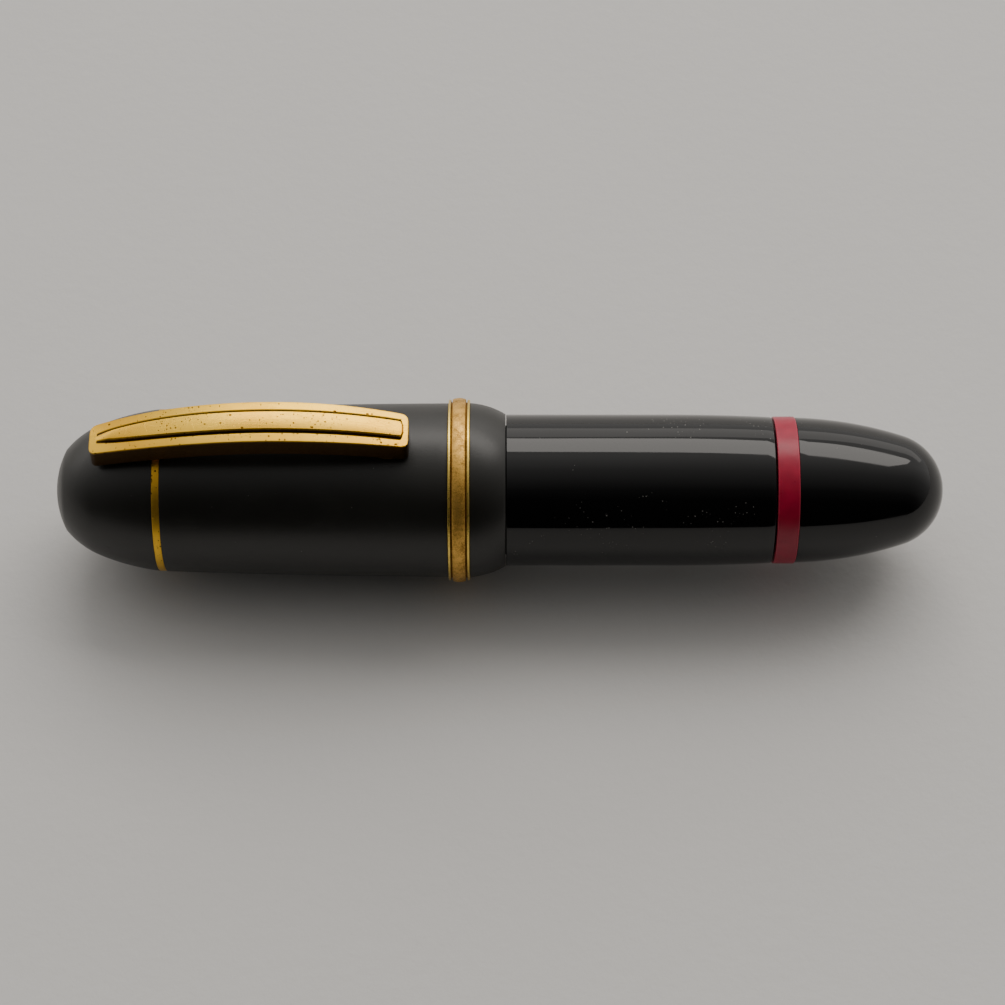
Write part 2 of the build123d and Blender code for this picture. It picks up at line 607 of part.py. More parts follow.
def make_cap_dome():
    nose_edge = clip_ring_radius - DOME_NOSE_STEP
    nose_depth, nose_radius = ball_nose(DOME_NOSE_DEPTH, nose_edge)
    cheek = (cap_tip + DOME_CHEEK_BACK, clip_ring_radius - DOME_CHEEK_STEP)
    shoulder = (cap_tip + DOME_SHOULDER_BACK, clip_ring_radius - DOME_SHOULDER_STEP)
    flare = (cap_tip + DOME_FLARE_BACK, clip_ring_radius - DOME_FLARE_STEP)
    return turned(
        (cap_tip, 0), ((cap_tip + nose_depth, nose_radius), (cap_tip + DOME_NOSE_DEPTH, nose_edge)),
        (cheek, shoulder), (flare, (dome_back, clip_ring_radius)),
        (dome_back, dome_tenon_radius), (dome_tenon_end, dome_tenon_radius), (dome_tenon_end, dome_bore),
        (dome_cavity_end + LINER_CHAMFER, dome_bore), (dome_cavity_end, dome_bore - LINER_CHAMFER),
        (dome_cavity_end, 0))


def make_clip_ring():
    """Ring clamped between dome and tube, with the lug that the clip turns on."""
    inner = dome_tenon_radius + FIT_GAP
    ring = tube(dome_back, tube_back, clip_ring_radius, inner)
    ring_half = CLIP_RING_WIDTH / 2
    middle = clip_ring_middle
    neck = block(middle - ring_half, middle + ring_half, -LUG_HALF_WIDTH, LUG_HALF_WIDTH,
                 inner + LUG_NECK_SINK, pin_height)
    lug_half = LUG_LENGTH / 2
    shank = block(middle - lug_half, middle + lug_half, -LUG_HALF_WIDTH, LUG_HALF_WIDTH,
                  clip_ring_radius + LUG_FOOT_RISE, pin_height)
    at_pin = Pos(middle, 0, pin_height) * Rot(90, 0, 0)
    head = at_pin * Cylinder(lug_half, 2 * LUG_HALF_WIDTH)
    hole = at_pin * Cylinder(PIN_RADIUS + PIN_PRESS_GAP, 4 * LUG_HALF_WIDTH)
    return ring + neck + shank + head - hole


def make_clip_pin():
    length = 2 * (clip_half_width(clip_ring_middle) - PIN_INSET)
    return Pos(clip_ring_middle, 0, pin_height) * Rot(90, 0, 0) * Cylinder(PIN_RADIUS, length)


def make_clip_spring():
    """Leaf fixed on the lug's face, reaching under the end of the clip over the dome."""
    front = clip_ring_middle - LUG_LENGTH / 2
    tip = front - SPRING_REACH
    under = CLIP_SHEET + SPRING_GAP + SPRING_THICKNESS / 2
    root = (front - SPRING_THICKNESS / 2, pin_height - SPRING_ROOT_DROP)
    knee = (front - SPRING_THICKNESS / 2, clip_height(front) - under - SPRING_BEND_HEIGHT)
    bend_x = front - SPRING_BEND_LENGTH
    bend = (bend_x, clip_height(bend_x) - under - SPRING_BEND_DIP)
    bend_middle = (front - SPRING_BEND_MIDDLE[0], knee[1] + SPRING_BEND_MIDDLE[1])
    end = (tip, clip_height(tip) - under)
    flat = Plane.XZ
    line = flat * Line(root, knee) + flat * ThreePointArc(knee, bend_middle, bend) + flat * Line(bend, end)
    at_root = Plane(origin=(root[0], 0, root[1]), z_dir=(0, 0, 1))
    section = at_root * Rectangle(SPRING_THICKNESS, 2 * SPRING_HALF_WIDTH)
    return sweep(section, path=line, transition=Transition.RIGHT)


def make_cap_tube():
    middle = (tube_back + band_back) / 2
    return turned(
        (tube_back, tube_rear_bore), (tube_back, cap_top_radius),
        ((middle, tube_radius(middle)), (band_back, cap_mouth_radius)),
        (band_back, tube_front_bore), (bush_back, tube_front_bore), (bush_back, tube_bore),
        (tube_shoulder, tube_bore), (tube_shoulder, tube_rear_bore))


def make_cap_band():
    inner = bush_radius + FIT_GAP
    crown_back = band_back + BAND_RIM_WIDTH + BAND_GROOVE_WIDTH
    crown_front = band_front - BAND_RIM_WIDTH - BAND_GROOVE_WIDTH
    crown_middle = (crown_back + crown_front) / 2
    crown_edge = band_crown_radius - BAND_CROWN_DROP
    return turned(
        (band_back, inner), (band_back, band_rim_radius), (band_back + BAND_RIM_WIDTH, band_rim_radius),
        (band_back + BAND_RIM_WIDTH, band_groove_radius), (crown_back, band_groove_radius),
        (crown_back, crown_edge), ((crown_middle, band_crown_radius), (crown_front, crown_edge)),
        (crown_front, band_groove_radius), (band_front - BAND_RIM_WIDTH, band_groove_radius),
        (band_front - BAND_RIM_WIDTH, band_rim_radius), (band_front, band_rim_radius), (band_front, inner))


def make_cap_lip_bush():
    edge_radius = barrel_radius + LIP_RISE
    shoulder = cap_mouth_radius + LIP_SHOULDER_STEP
    lip_middle = (lip_front - LIP_MIDDLE_ALONG * LIP_LENGTH,
                  edge_radius + LIP_MIDDLE_GAINED * (shoulder - edge_radius))
    body = turned(
        (bush_back, bush_bore), (bush_back, bush_radius), (band_front, bush_radius), (band_front, shoulder),
        (lip_middle, (lip_front, edge_radius)), (lip_front, bush_bore))
    grooves = windings(-NECK_LENGTH - BUSH_THREAD_OVERRUN, lip_front - THREAD_RUNOUT, THREAD_LEAD,
                       THREAD_STARTS, bush_bore - BUSH_GROOVE_START, bush_bore + BUSH_GROOVE_DEPTH,
                       THREAD_WIDTH + BUSH_GROOVE_EXTRA, THREAD_WIDTH / 2)
    for groove in grooves:
        body = body - groove
    return body


# ---- Clip ----
def clip_half_width(x):
    """Half width of the clip, widest under its highest line."""
    if x < clip_peak_x:
        share = (clip_peak_x - x) / (clip_peak_x - clip_dome_end)
        return CLIP_HALF_WIDTH - (CLIP_HALF_WIDTH - CLIP_DOME_HALF_WIDTH) * share**3
    share = (x - clip_peak_x) / (clip_free_end - clip_peak_x)
    return CLIP_HALF_WIDTH - (CLIP_HALF_WIDTH - CLIP_FREE_HALF_WIDTH) * share**2


def along_arch(x_from, x_to, above, below):
    """Slab that follows the clip's arch, between two heights from its top line."""
    middle = (x_from + x_to) / 2
    top = [(x, clip_height(x) + above) for x in (x_from, middle, x_to)]
    bottom = [(x, clip_height(x) - below) for x in (x_to, middle, x_from)]
    flat = Plane.XZ
    edges = [flat * ThreePointArc(*top), flat * Line(top[2], bottom[0]),
             flat * ThreePointArc(*bottom), flat * Line(bottom[2], top[0])]
    return extrude(make_face(edges), WIDE, both=True)


def clip_plan(inset):
    """Outline of the clip from above, with rounded corners, as a tall prism."""
    x_from = clip_dome_end + inset
    x_to = clip_free_end - inset
    places = [x_from + (x_to - x_from) * share for share in (0, 0.12, 0.3, 0.6, 0.85, 1)]
    side = [(x, clip_half_width(x) - inset) for x in places]
    other = [(x, -y) for x, y in reversed(side)]
    edges = [Spline(*side), Line(side[-1], other[0]), Spline(*other), Line(other[-1], side[0])]
    face = make_face(edges)
    corners = face.vertices().filter_by(lambda v: abs(v.X - x_from) < 0.01 or abs(v.X - x_to) < 0.01)
    return extrude(fillet(corners, CLIP_CORNER - inset / 2), clip_peak_height + OVERCUT)


def rib_plan():
    """Outline of the raised rib: pointed over the dome, rounded at the free end."""
    point = (clip_dome_end + RIB_MARGIN, 0)
    end_x = clip_free_end - RIB_MARGIN - RIB_END_ROUND
    side = [(point[0] + RIB_POINT_LENGTH, RIB_POINT_HALF_WIDTH),
            (clip_peak_x - RIB_FULL_FORWARD, RIB_HALF_WIDTH), (end_x, RIB_FREE_HALF_WIDTH)]
    other = [(x, -y) for x, y in side]
    round_end = ThreePointArc(side[-1], (end_x + RIB_END_ROUND, 0), other[-1])
    face = make_face([Spline(point, *side), round_end, Spline(point, *other)])
    return extrude(face, clip_peak_height + OVERCUT)


def make_clip():
    outer = along_arch(clip_dome_end, clip_free_end, 0, CLIP_WALL_HEIGHT) & clip_plan(0)
    under = along_arch(clip_dome_end, clip_free_end, -CLIP_SHEET, CLIP_WALL_HEIGHT + OVERCUT)
    hollow = under & clip_plan(CLIP_SHEET)
    rib = along_arch(clip_dome_end, clip_free_end, RIB_HEIGHT, JOIN) & rib_plan()
    foot_bottom = tube_radius(foot_x) + FOOT_GAP
    foot_middle = foot_bottom + FOOT_RADIUS
    roof = min(clip_height(foot_x - FOOT_RADIUS), clip_height(foot_x + FOOT_RADIUS)) - CLIP_SHEET + JOIN
    roller = Pos(foot_x, 0, foot_middle) * Rot(90, 0, 0) * Cylinder(FOOT_RADIUS, 2 * FOOT_HALF_WIDTH)
    lower_half = block(foot_x - WIDE, foot_x + WIDE, -WIDE, WIDE, 0, foot_middle)
    stem = block(foot_x - FOOT_RADIUS, foot_x + FOOT_RADIUS, -FOOT_HALF_WIDTH, FOOT_HALF_WIDTH,
                 foot_middle, roof)
    hinge_hole = Pos(clip_ring_middle, 0, pin_height) * Rot(90, 0, 0) * Cylinder(PIN_RADIUS + FIT_GAP, WIDE)
    return (outer - hollow) + rib + (roller & lower_half) + stem - hinge_hole


MAKERS = {
    "barrel": make_barrel,
    "grip_section": make_grip,
    "section_gasket": lambda: gasket(grip_gasket_x, neck_bore),
    "nib_collar": make_nib_collar,
    "feed": make_feed,
    "nib": make_nib,
    "nib_tipping": make_nib_tipping,
    "filler_housing": make_filler_housing,
    "housing_gasket": lambda: gasket(housing_gasket_x, seat_bore),
    "retaining_ring": make_retaining_ring,
    "piston_rod": make_piston_rod,
    "piston_head": make_piston_head,
    "piston_seal": make_piston_seal,
    "piston_screw": make_piston_screw,
    "spindle_nut": make_spindle_nut,
    "red_ring": make_red_ring,
    "filling_knob": make_filling_knob,
    "inner_cap": make_inner_cap,
    "cap_dome": make_cap_dome,
    "clip_ring": make_clip_ring,
    "clip_pin": make_clip_pin,
    "clip_spring": make_clip_spring,
    "cap_tube": make_cap_tube,
    "cap_band": make_cap_band,
    "cap_lip_bush": make_cap_lip_bush,
    "clip": make_clip,
}

os.makedirs("parts", exist_ok=True)
for name, maker in MAKERS.items():
    solid = maker()
    solid.label = name
    export_step(solid, f"parts/{name}.step")
    print(f"{name}: {len(solid.solids())} solid, {solid.volume:.1f} mm3")
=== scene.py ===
"""Builds a short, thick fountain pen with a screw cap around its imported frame.

The outer pieces are modelled here at full detail. The mechanism inside keeps the frame's own
shapes and gets finishes. Run as a script: main() registers the panel and builds every piece.
"""

import json
import math

import bmesh
import bpy
from mathutils import Matrix, Vector


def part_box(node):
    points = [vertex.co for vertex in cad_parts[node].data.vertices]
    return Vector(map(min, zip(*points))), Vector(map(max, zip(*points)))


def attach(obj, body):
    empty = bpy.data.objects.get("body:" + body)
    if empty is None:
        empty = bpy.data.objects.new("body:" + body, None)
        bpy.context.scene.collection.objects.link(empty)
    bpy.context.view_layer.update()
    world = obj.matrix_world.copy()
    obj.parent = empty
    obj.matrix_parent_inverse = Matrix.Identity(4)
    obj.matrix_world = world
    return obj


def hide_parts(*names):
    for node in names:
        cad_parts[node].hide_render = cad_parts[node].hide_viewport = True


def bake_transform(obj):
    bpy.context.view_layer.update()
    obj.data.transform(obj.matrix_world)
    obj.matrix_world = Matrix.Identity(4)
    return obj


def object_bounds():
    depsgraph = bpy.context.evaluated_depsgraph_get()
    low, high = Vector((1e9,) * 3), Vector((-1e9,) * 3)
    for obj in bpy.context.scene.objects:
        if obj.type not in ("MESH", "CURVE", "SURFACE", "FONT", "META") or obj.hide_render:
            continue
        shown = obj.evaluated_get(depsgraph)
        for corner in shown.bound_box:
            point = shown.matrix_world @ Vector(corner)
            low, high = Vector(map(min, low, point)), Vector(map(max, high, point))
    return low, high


bl_info = {
    "name": "Fountain Pen",
    "version": (1, 0, 0),
    "blender": (4, 5, 0),
    "location": "View3D > Sidebar > Pen",
    "description": "Builds the shells, trim and finishes of a fountain pen",
    "category": "Object",
}

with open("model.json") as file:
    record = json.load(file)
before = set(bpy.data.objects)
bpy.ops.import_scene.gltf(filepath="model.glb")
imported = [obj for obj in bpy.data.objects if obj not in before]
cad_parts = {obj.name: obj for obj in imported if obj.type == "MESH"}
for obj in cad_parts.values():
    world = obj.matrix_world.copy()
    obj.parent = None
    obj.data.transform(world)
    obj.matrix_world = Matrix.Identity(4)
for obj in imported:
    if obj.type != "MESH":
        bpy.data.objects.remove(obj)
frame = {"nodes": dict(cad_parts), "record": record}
cad_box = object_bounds()

MM = 0.001
FULL_TURN = 2 * math.pi
TURN_STEPS = 192
THREAD_STARTS = 3
NUT_HUB_RADIUS = 4.25 * MM   # the nut's hub, which the knob and the red ring sit on
CREASE = math.radians(42)    # sharper edges than this keep a hard line in the shading
RING_CORNER = math.radians(28)   # sharper rings than this are rounded on turned pieces
SAME = 1e-8                  # points nearer than this are the same


def ends(node):
    """Lowest and highest place of a frame node along the pen."""
    low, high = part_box(node)
    return low[0], high[0]


def girth(node):
    """Largest radius of a frame node that is turned about the pen's axis."""
    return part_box(node)[1][1]


def length(label, text, default):
    """A size in millimetres as a length property."""
    return bpy.props.FloatProperty(
        name=label, description=text, default=default * MM, unit="LENGTH", precision=5)


def colour(label, text, default):
    """A colour property."""
    return bpy.props.FloatVectorProperty(
        name=label, description=text, default=default, size=3, subtype="COLOR", min=0.0, max=1.0)


class PenSizes(bpy.types.PropertyGroup):
    """Sizes of the details that the frame's boxes don't give."""

    edge: length("Edge", "Rounding of the turned edges", 0.07)
    fit_gap: length("Fit gap", "Clearance between pressed pieces", 0.05)
    neck_step: length("Neck step", "Barrel radius to the root of the neck thread", 1.2)
    taper_length: length("Barrel taper", "Stretch of the barrel that narrows to the tail", 9.8)
    taper: length("Taper", "Radius lost over the barrel's taper", 0.27)
    seat_step: length("Seat step", "Shoulder that the filler housing seats on", 0.3)
    chamber_cone: length("Chamber cone", "Length of the cone at the chamber's front", 0.8)
    thread_depth: length("Thread depth", "Height of the neck thread", 0.35)
    thread_lead: length("Thread lead", "Advance of the cap thread in one turn", 3.0)
    thread_width: length("Thread width", "Width of the thread at its root", 0.62)
    thread_runout: length("Thread run-out", "Plain stretch at each end of the thread", 1.2)
    knob_nose: length("Knob nose", "Length of the ball nose", 4.5)
    knob_nose_step: length("Knob nose step", "Radius lost from the knob's mouth to its nose", 1.88)
    knob_bulge: length("Knob bulge", "How far the knob's side swells", 0.42)
    knob_hub: length("Knob hub", "Depth of the hub that holds the nut", 2.0)
    dome_nose: length("Dome nose", "Length of the dome's ball nose", 1.1)
    dome_nose_step: length("Dome nose step", "Ring radius to the edge of the ball nose", 4.25)
    cap_bulge: length("Cap bulge", "How far the tube swells between its ends", 0.12)
    cap_wall: length("Cap wall", "Wall of the tube at the dome", 1.3)
    bush_wall: length("Bush wall", "Wall of the lip bush", 1.28)
    band_rim: length("Band rim", "Width of each thin rim", 0.25)
    band_rim_rise: length("Rim rise", "Rim of the band above the tube", 0.38)
    band_groove: length("Band groove", "Width of the groove beside each rim", 0.18)
    band_groove_rise: length("Groove rise", "Floor of the groove above the tube", 0.1)
    lip_rise: length("Lip rise", "Edge of the lip above the barrel", 0.05)
    clip_sheet: length("Clip sheet", "Thickness of the clip's metal", 0.45)
    clip_wall: length("Clip wall", "Height of the clip's side walls", 2.6)
    clip_corner: length("Clip corner", "Corner radius of the clip from above", 0.7)
    clip_round: length("Clip edge", "Rounding between the clip's top and its walls", 0.24)
    clip_peak_back: length("Clip peak", "Highest line, measured from the free end", 13.9)
    clip_drop: length("Clip drop", "Peak to the end over the dome", 3.8)
    clip_end_width: length("Dome-end half width", "Half width of the clip over the dome", 1.65)
    clip_free_width: length("Free-end half width", "Half width of the clip at its free end", 1.95)
    rib_height: length("Rib height", "Raised rib above the clip's ledges", 0.34)
    rib_width: length("Rib half width", "Half width of the rib at its widest", 1.0)
    rib_free_width: length("Rib end half width", "Half width of the rib at the free end", 0.82)
    rib_groove: length("Rib groove", "Width of the rib's sloping side and the line beside it", 0.24)
    rib_groove_depth: length("Rib groove depth", "Depth of the line pressed beside the rib", 0.1)
    foot_radius: length("Foot radius", "Radius of the clip's foot", 1.78)
    foot_width: length("Foot half width", "Half width of the clip's foot", 1.9)
    foot_back: length("Foot place", "Foot's centre, measured from the free end", 2.1)


class PenColours(bpy.types.PropertyGroup):
    """Colours of the pen's finishes."""

    cap: colour("Cap", "Satin black resin", (0.0085, 0.0082, 0.0068))
    barrel: colour("Barrel", "Polished black resin", (0.0022, 0.0022, 0.0024))
    ring: colour("Ring", "Crimson resin", (0.42, 0.006, 0.040))
    gold: colour("Gold", "Gold plate", (0.96, 0.60, 0.065))
    old_gold: colour("Old gold", "Gold gone dull in stains and pits", (0.22, 0.10, 0.010))
    # Painted shade: brown in the clip's pressed lines, down its walls, along its rim and over its foot
    tarnish: colour("Tarnish", "Brown in the pressed lines and down the clip's walls", (0.046, 0.023, 0.005))
    band: colour("Band", "Worn, coppery plate on the band's crown", (0.80, 0.47, 0.11))
    rim: colour("Rims", "Brighter plate on the band's thin rims", (0.95, 0.68, 0.16))
    patina: colour("Patina", "Brown patina on the band", (0.22, 0.105, 0.015))
    dust: colour("Dust", "Fine dust and lint", (0.32, 0.31, 0.29))
    floor: colour("Floor", "Pale table top", (0.68, 0.67, 0.655))


# ---- Shader building ----
def arithmetic(operation, swapped=False):
    """A method of Amount that adds a Math node."""
    def method(self, other):
        first, second = (other, self) if swapped else (self, other)
        made = self.finish.node("ShaderNodeMath", {"operation": operation}, {0: first, 1: second})
        return Amount(self.finish, made.outputs[0])
    return method


class Amount:
    """A number that changes over a surface. Python's operators on it add Math nodes."""

    def __init__(self, finish, socket):
        self.finish = finish
        self.socket = socket

    __add__ = __radd__ = arithmetic("ADD")
    __sub__ = arithmetic("SUBTRACT")
    __rsub__ = arithmetic("SUBTRACT", swapped=True)
    __mul__ = __rmul__ = arithmetic("MULTIPLY")
    __lt__ = arithmetic("LESS_THAN")
    _absolute = arithmetic("ABSOLUTE")

    def size(self):
        """The amount without its sign."""
        return self._absolute(0.0)

    def ramp(self, low, high, to_low=0.0, to_high=1.0):
        """Smooth step from one value to another as the amount goes from low to high."""
        made = self.finish.node("ShaderNodeMapRange", {"interpolation_type": "SMOOTHSTEP"}, {
            "Value": self, "From Min": low, "From Max": high, "To Min": to_low, "To Max": to_high})
        return Amount(self.finish, made.outputs["Result"])


class NodeMaker:
    """Adds nodes to a node tree."""

    def __init__(self, tree):
        self.tree = tree
        self.tree.nodes.clear()

    def node(self, kind, settings, values):
        """Adds a node: its type, its settings, and a value or link for each socket."""
        made = self.tree.nodes.new(kind)
        for key, value in settings.items():
            if key == "stops":
                ramp = made.color_ramp
                while len(ramp.elements) < len(value):
                    ramp.elements.new(1.0)
                for element, (place, shade) in zip(ramp.elements, value):
                    element.position = place
                    element.color = shade
            else:
                setattr(made, key, value)
        for key, value in values.items():
            if isinstance(value, Amount):
                value = value.socket
            if isinstance(value, bpy.types.NodeSocket):
                self.tree.links.new(value, made.inputs[key])
            else:
                made.inputs[key].default_value = value
        return made


class Finish(NodeMaker):
    """A node material for one finish."""

    def __init__(self, name, **even):
        self.material = bpy.data.materials.new(name)
        self.material.use_nodes = True
        super().__init__(self.material.node_tree)
        self.shader = self.node("ShaderNodeBsdfPrincipled", {}, even)
        output = self.node("ShaderNodeOutputMaterial", {}, {})
        self.tree.links.new(self.shader.outputs[0], output.inputs[0])
        self.coords = self.node("ShaderNodeTexCoord", {}, {}).outputs["Object"]

    def place(self, stretch=(1.0, 1.0, 1.0), turn=0.0):
        """Object coordinates in millimetres, stretched along X, Y and Z and turned about the pen."""
        scale = tuple(1 / (MM * part) for part in stretch)
        made = self.node("ShaderNodeMapping", {}, {
            "Vector": self.coords, "Scale": scale, "Rotation": (turn, 0.0, 0.0)})
        return made.outputs[0]

    def noise(self, scale, stretch=(1.0, 1.0, 1.0), detail=3.0, roughness=0.5, turn=0.0):
        """Noise with `scale` cells to the millimetre."""
        made = self.node("ShaderNodeTexNoise", {}, {
            "Vector": self.place(stretch, turn), "Scale": scale, "Detail": detail, "Roughness": roughness})
        return Amount(self, made.outputs["Fac"])

    def specks(self, scale, radius, share, stretch=(1.0, 1.0, 1.0)):
        """Small dots: `scale` cells to the millimetre, of which `share` hold a dot."""
        made = self.node("ShaderNodeTexVoronoi", {}, {"Vector": self.place(stretch), "Scale": scale})
        near = Amount(self, made.outputs["Distance"])
        parts = self.node("ShaderNodeSeparateColor", {}, {0: made.outputs["Color"]})
        chosen = Amount(self, parts.outputs[0]) < share
        extent = Amount(self, parts.outputs[1]) * radius + radius * 0.35
        return (extent - near).ramp(0.0, radius * 0.3) * chosen

    def hairlines(self, scale, stretch, width, turn=0.0):
        """Long thin scratches where a stretched noise crosses its middle."""
        wave = self.noise(scale, stretch, detail=1.0, turn=turn)
        return (wave - 0.5).size().ramp(0.0, width, 1.0, 0.0)

    def along(self):
        """Place along the pen in millimetres."""
        parts = self.node("ShaderNodeSeparateXYZ", {}, {0: self.place()})
        return Amount(self, parts.outputs[0])

    def attribute(self, name):
        """A number stored on the piece's own vertices."""
        made = self.node("ShaderNodeAttribute", {"attribute_name": name}, {})
        return Amount(self, made.outputs["Fac"])

    def blend(self, factor, first, second):
        """Colour between two colours."""
        made = self.node("ShaderNodeMix", {"data_type": "RGBA"}, {0: factor, 6: first, 7: second})
        return made.outputs[2]

    def paint(self, **sockets):
        """Links what changes over the surface to the shader."""
        for key, value in sockets.items():
            target = self.shader.inputs[key.replace("_", " ")]
            self.tree.links.new(value.socket if isinstance(value, Amount) else value, target)

    def relief(self, *layers):
        """Bump from (height, depth in millimetres) layers, one on the other."""
        normal = None
        for height, depth in layers:
            values = {"Height": height, "Distance": depth * MM, "Strength": 1.0}
            if normal is not None:
                values["Normal"] = normal
            normal = self.node("ShaderNodeBump", {}, values).outputs[0]
        self.tree.links.new(normal, self.shader.inputs["Normal"])


def opaque(shade, times=1.0, plus=0.0):
    """A colour with full alpha, made lighter or darker."""
    return (*(min(1.0, part * times + plus) for part in shade), 1.0)


def satin_black(colours):
    finish = Finish("satin_black", **{"IOR": 1.5})
    broad = finish.noise(0.22, (2.0, 1.0, 1.0), detail=4.0)
    grain = finish.noise(9.0, (3.0, 1.0, 1.0), detail=4.0, roughness=0.65)
    long_lines = finish.hairlines(1.6, (26.0, 1.0, 1.0), 0.012)
    stray_lines = finish.hairlines(0.9, (9.0, 1.0, 1.4), 0.006, turn=0.7)
    worn = finish.noise(0.35, (1.5, 1.0, 1.0), detail=5.0).ramp(0.52, 0.66)
    lines = long_lines * worn * 0.7 + stray_lines * 0.35
    scuffs = finish.specks(1.1, 0.16, 0.10, (2.2, 1.0, 1.0))
    dust = finish.specks(1.3, 0.085, 0.06)
    tip = finish.along().ramp(ends("cap_dome")[0] / MM + 5.0, ends("cap_dome")[0] / MM)
    shade = finish.blend(broad * 0.5 + worn * 0.25, opaque(colours.cap), opaque(colours.cap, 1.7))
    rubbed = (lines * 0.35 + scuffs * (0.3 + tip * 0.6)).ramp(0.0, 1.0)
    shade = finish.blend(rubbed, shade, opaque(colours.cap, 3.4, 0.012))
    shade = finish.blend(dust * 0.55, shade, opaque(colours.dust))
    rough = 0.25 + broad * 0.12 + grain * 0.10 + lines * 0.10 + scuffs * 0.14 + dust * 0.3
    finish.paint(Base_Color=shade, Roughness=rough)
    finish.relief((grain, 0.006), (lines, -0.004), (scuffs, -0.01))
    return finish.material


def polished_black(colours):
    finish = Finish("polished_black", **{"IOR": 1.45})
    haze = finish.noise(0.5, (3.0, 1.0, 1.0), detail=5.0)
    ripple = finish.noise(0.22, (9.0, 1.0, 1.0), detail=2.0)
    lines = finish.hairlines(0.7, (22.0, 1.0, 1.3), 0.003, turn=0.5)
    dust = finish.specks(1.1, 0.085, 0.09)
    gathered = finish.specks(2.6, 0.17, 0.6) * finish.noise(0.12, detail=2.0).ramp(0.56, 0.64)
    spots = (dust + gathered * 0.9).ramp(0.0, 1.0)
    shade = finish.blend(spots * 0.45, opaque(colours.barrel), opaque(colours.dust))
    rough = 0.045 + haze.ramp(0.45, 0.75) * 0.05 + lines * 0.05 + spots * 0.5
    finish.paint(Base_Color=shade, Roughness=rough)
    finish.relief((ripple, 0.05), (spots, 0.005))
    return finish.material


def crimson(colours):
    inside = (0.6 * MM, 0.1 * MM, 0.1 * MM)
    finish = Finish("crimson", **{"IOR": 1.43, "Subsurface Weight": 0.08, "Subsurface Radius": inside})
    marble = finish.noise(0.8, (1.0, 1.0, 1.0), detail=4.0)
    dust = finish.specks(1.5, 0.08, 0.09)
    middle = sum(ends("red_ring")) / 2 / MM
    half = (ends("red_ring")[1] - ends("red_ring")[0]) / 2 / MM
    # Painted highlight: lighter crimson along the ring's two edges
    rim = (finish.along() - middle).size().ramp(half - 0.16, half - 0.02)
    shade = finish.blend(marble, opaque(colours.ring, 0.62), opaque(colours.ring))
    shade = finish.blend(rim * 0.35, shade, opaque(colours.ring, 1.25, 0.05))
    shade = finish.blend(dust * 0.4, shade, opaque(colours.dust))
    finish.paint(Base_Color=shade, Roughness=0.24 + marble * 0.12 + dust * 0.4)
    finish.relief((finish.noise(0.5, detail=2.0), 0.03), (dust, 0.005))
    return finish.material


def gold_plate(colours, name="gold_plate", rough=0.24, wear=1.0, tarnish=None):
    """Gold plate, brighter where it is rubbed, with small pits, and with painted shade in brown in corners
    where a vertex attribute is named.
    """
    finish = Finish(name, Metallic=1.0)
    cloud = finish.noise(0.45, (2.5, 1.0, 1.0), detail=5.0)
    grain = finish.noise(6.0, (3.0, 1.0, 1.0), detail=4.0, roughness=0.7)
    lines = finish.hairlines(1.3, (16.0, 1.0, 1.0), 0.010)
    cross = finish.hairlines(0.9, (1.0, 4.0, 4.0), 0.004, turn=0.3)
    crowded = finish.noise(0.16, (1.0, 1.0, 1.0), detail=2.0).ramp(0.50, 0.60)
    pits = finish.specks(1.3, 0.13, 0.75, (1.4, 1.0, 1.0))
    pits = pits + finish.specks(1.9, 0.14, 0.5, (0.55, 1.3, 1.0))
    pits = pits + finish.specks(2.8, 0.24, 0.9) * crowded
    stains = finish.noise(1.6, (1.6, 1.0, 1.0), detail=6.0, roughness=0.7).ramp(0.60, 0.74)
    dark = stains * 0.35 + pits
    broad = finish.noise(0.11, (1.6, 1.0, 1.0), detail=3.0).ramp(0.36, 0.64)
    duller = tuple(part * share for part, share in zip(colours.gold, (0.80, 0.66, 0.45)))
    shade = finish.blend(cloud * 0.4 + broad * 0.6, opaque(colours.gold), opaque(duller))
    shade = finish.blend((dark * wear).ramp(0.0, 1.0), shade, opaque(colours.old_gold))
    level = rough + cloud * 0.08 + grain * 0.08 + dark * (0.22 * wear) + lines * 0.06
    # Painted shade: the named vertex attribute browns the plate where shade falls
    if tarnish is not None:
        brown = (finish.attribute(tarnish) * (0.75 + 0.45 * grain)).ramp(0.0, 1.0)
        shade = finish.blend(brown, shade, opaque(colours.tarnish))
        level = level + brown * 0.16
    finish.paint(Base_Color=shade, Roughness=level)
    finish.relief((grain, 0.006 * wear), (lines + cross, -0.003), (pits, -0.03 * wear))
    return finish.material


def worn_band(colours):
    """The band: brown, granular plate on its crown, brighter thin rims and dark grooves."""
    finish = Finish("worn_band", Metallic=1.0)
    back, front = (place / MM for place in ends("cap_band"))
    sizes = bpy.context.scene.pen_sizes
    half = (front - back) / 2
    off = (finish.along() - (back + front) / 2).size()
    rim_edge = half - sizes.band_rim / MM
    groove_edge = rim_edge - sizes.band_groove / MM
    groove = off.ramp(groove_edge - 0.05, groove_edge + 0.02)
    groove = groove * off.ramp(rim_edge - 0.02, rim_edge + 0.03, 1.0, 0.0)
    rim = off.ramp(rim_edge - 0.02, rim_edge + 0.04)
    grain = finish.noise(7.0, (1.0, 1.0, 1.0), detail=5.0, roughness=0.75)
    patches = finish.noise(0.9, (1.0, 1.0, 1.0), detail=5.0, roughness=0.6)
    pits = finish.specks(3.4, 0.12, 0.35)
    old = (grain * 0.8 + patches * 0.8).ramp(0.68, 0.98)
    shade = finish.blend(old * 0.7, opaque(colours.band), opaque(colours.patina))
    shade = finish.blend(pits * 0.55, shade, opaque(colours.patina))
    shade = finish.blend(rim * (1 - old * 0.3), shade, opaque(colours.rim))
    shade = finish.blend(groove * 0.85, shade, opaque(colours.patina))
    rough = 0.36 + old * 0.16 + grain * 0.14 - rim * 0.16 + groove * 0.15
    finish.paint(Base_Color=shade, Roughness=rough)
    finish.relief((grain, 0.016), (pits, -0.02))
    return finish.material


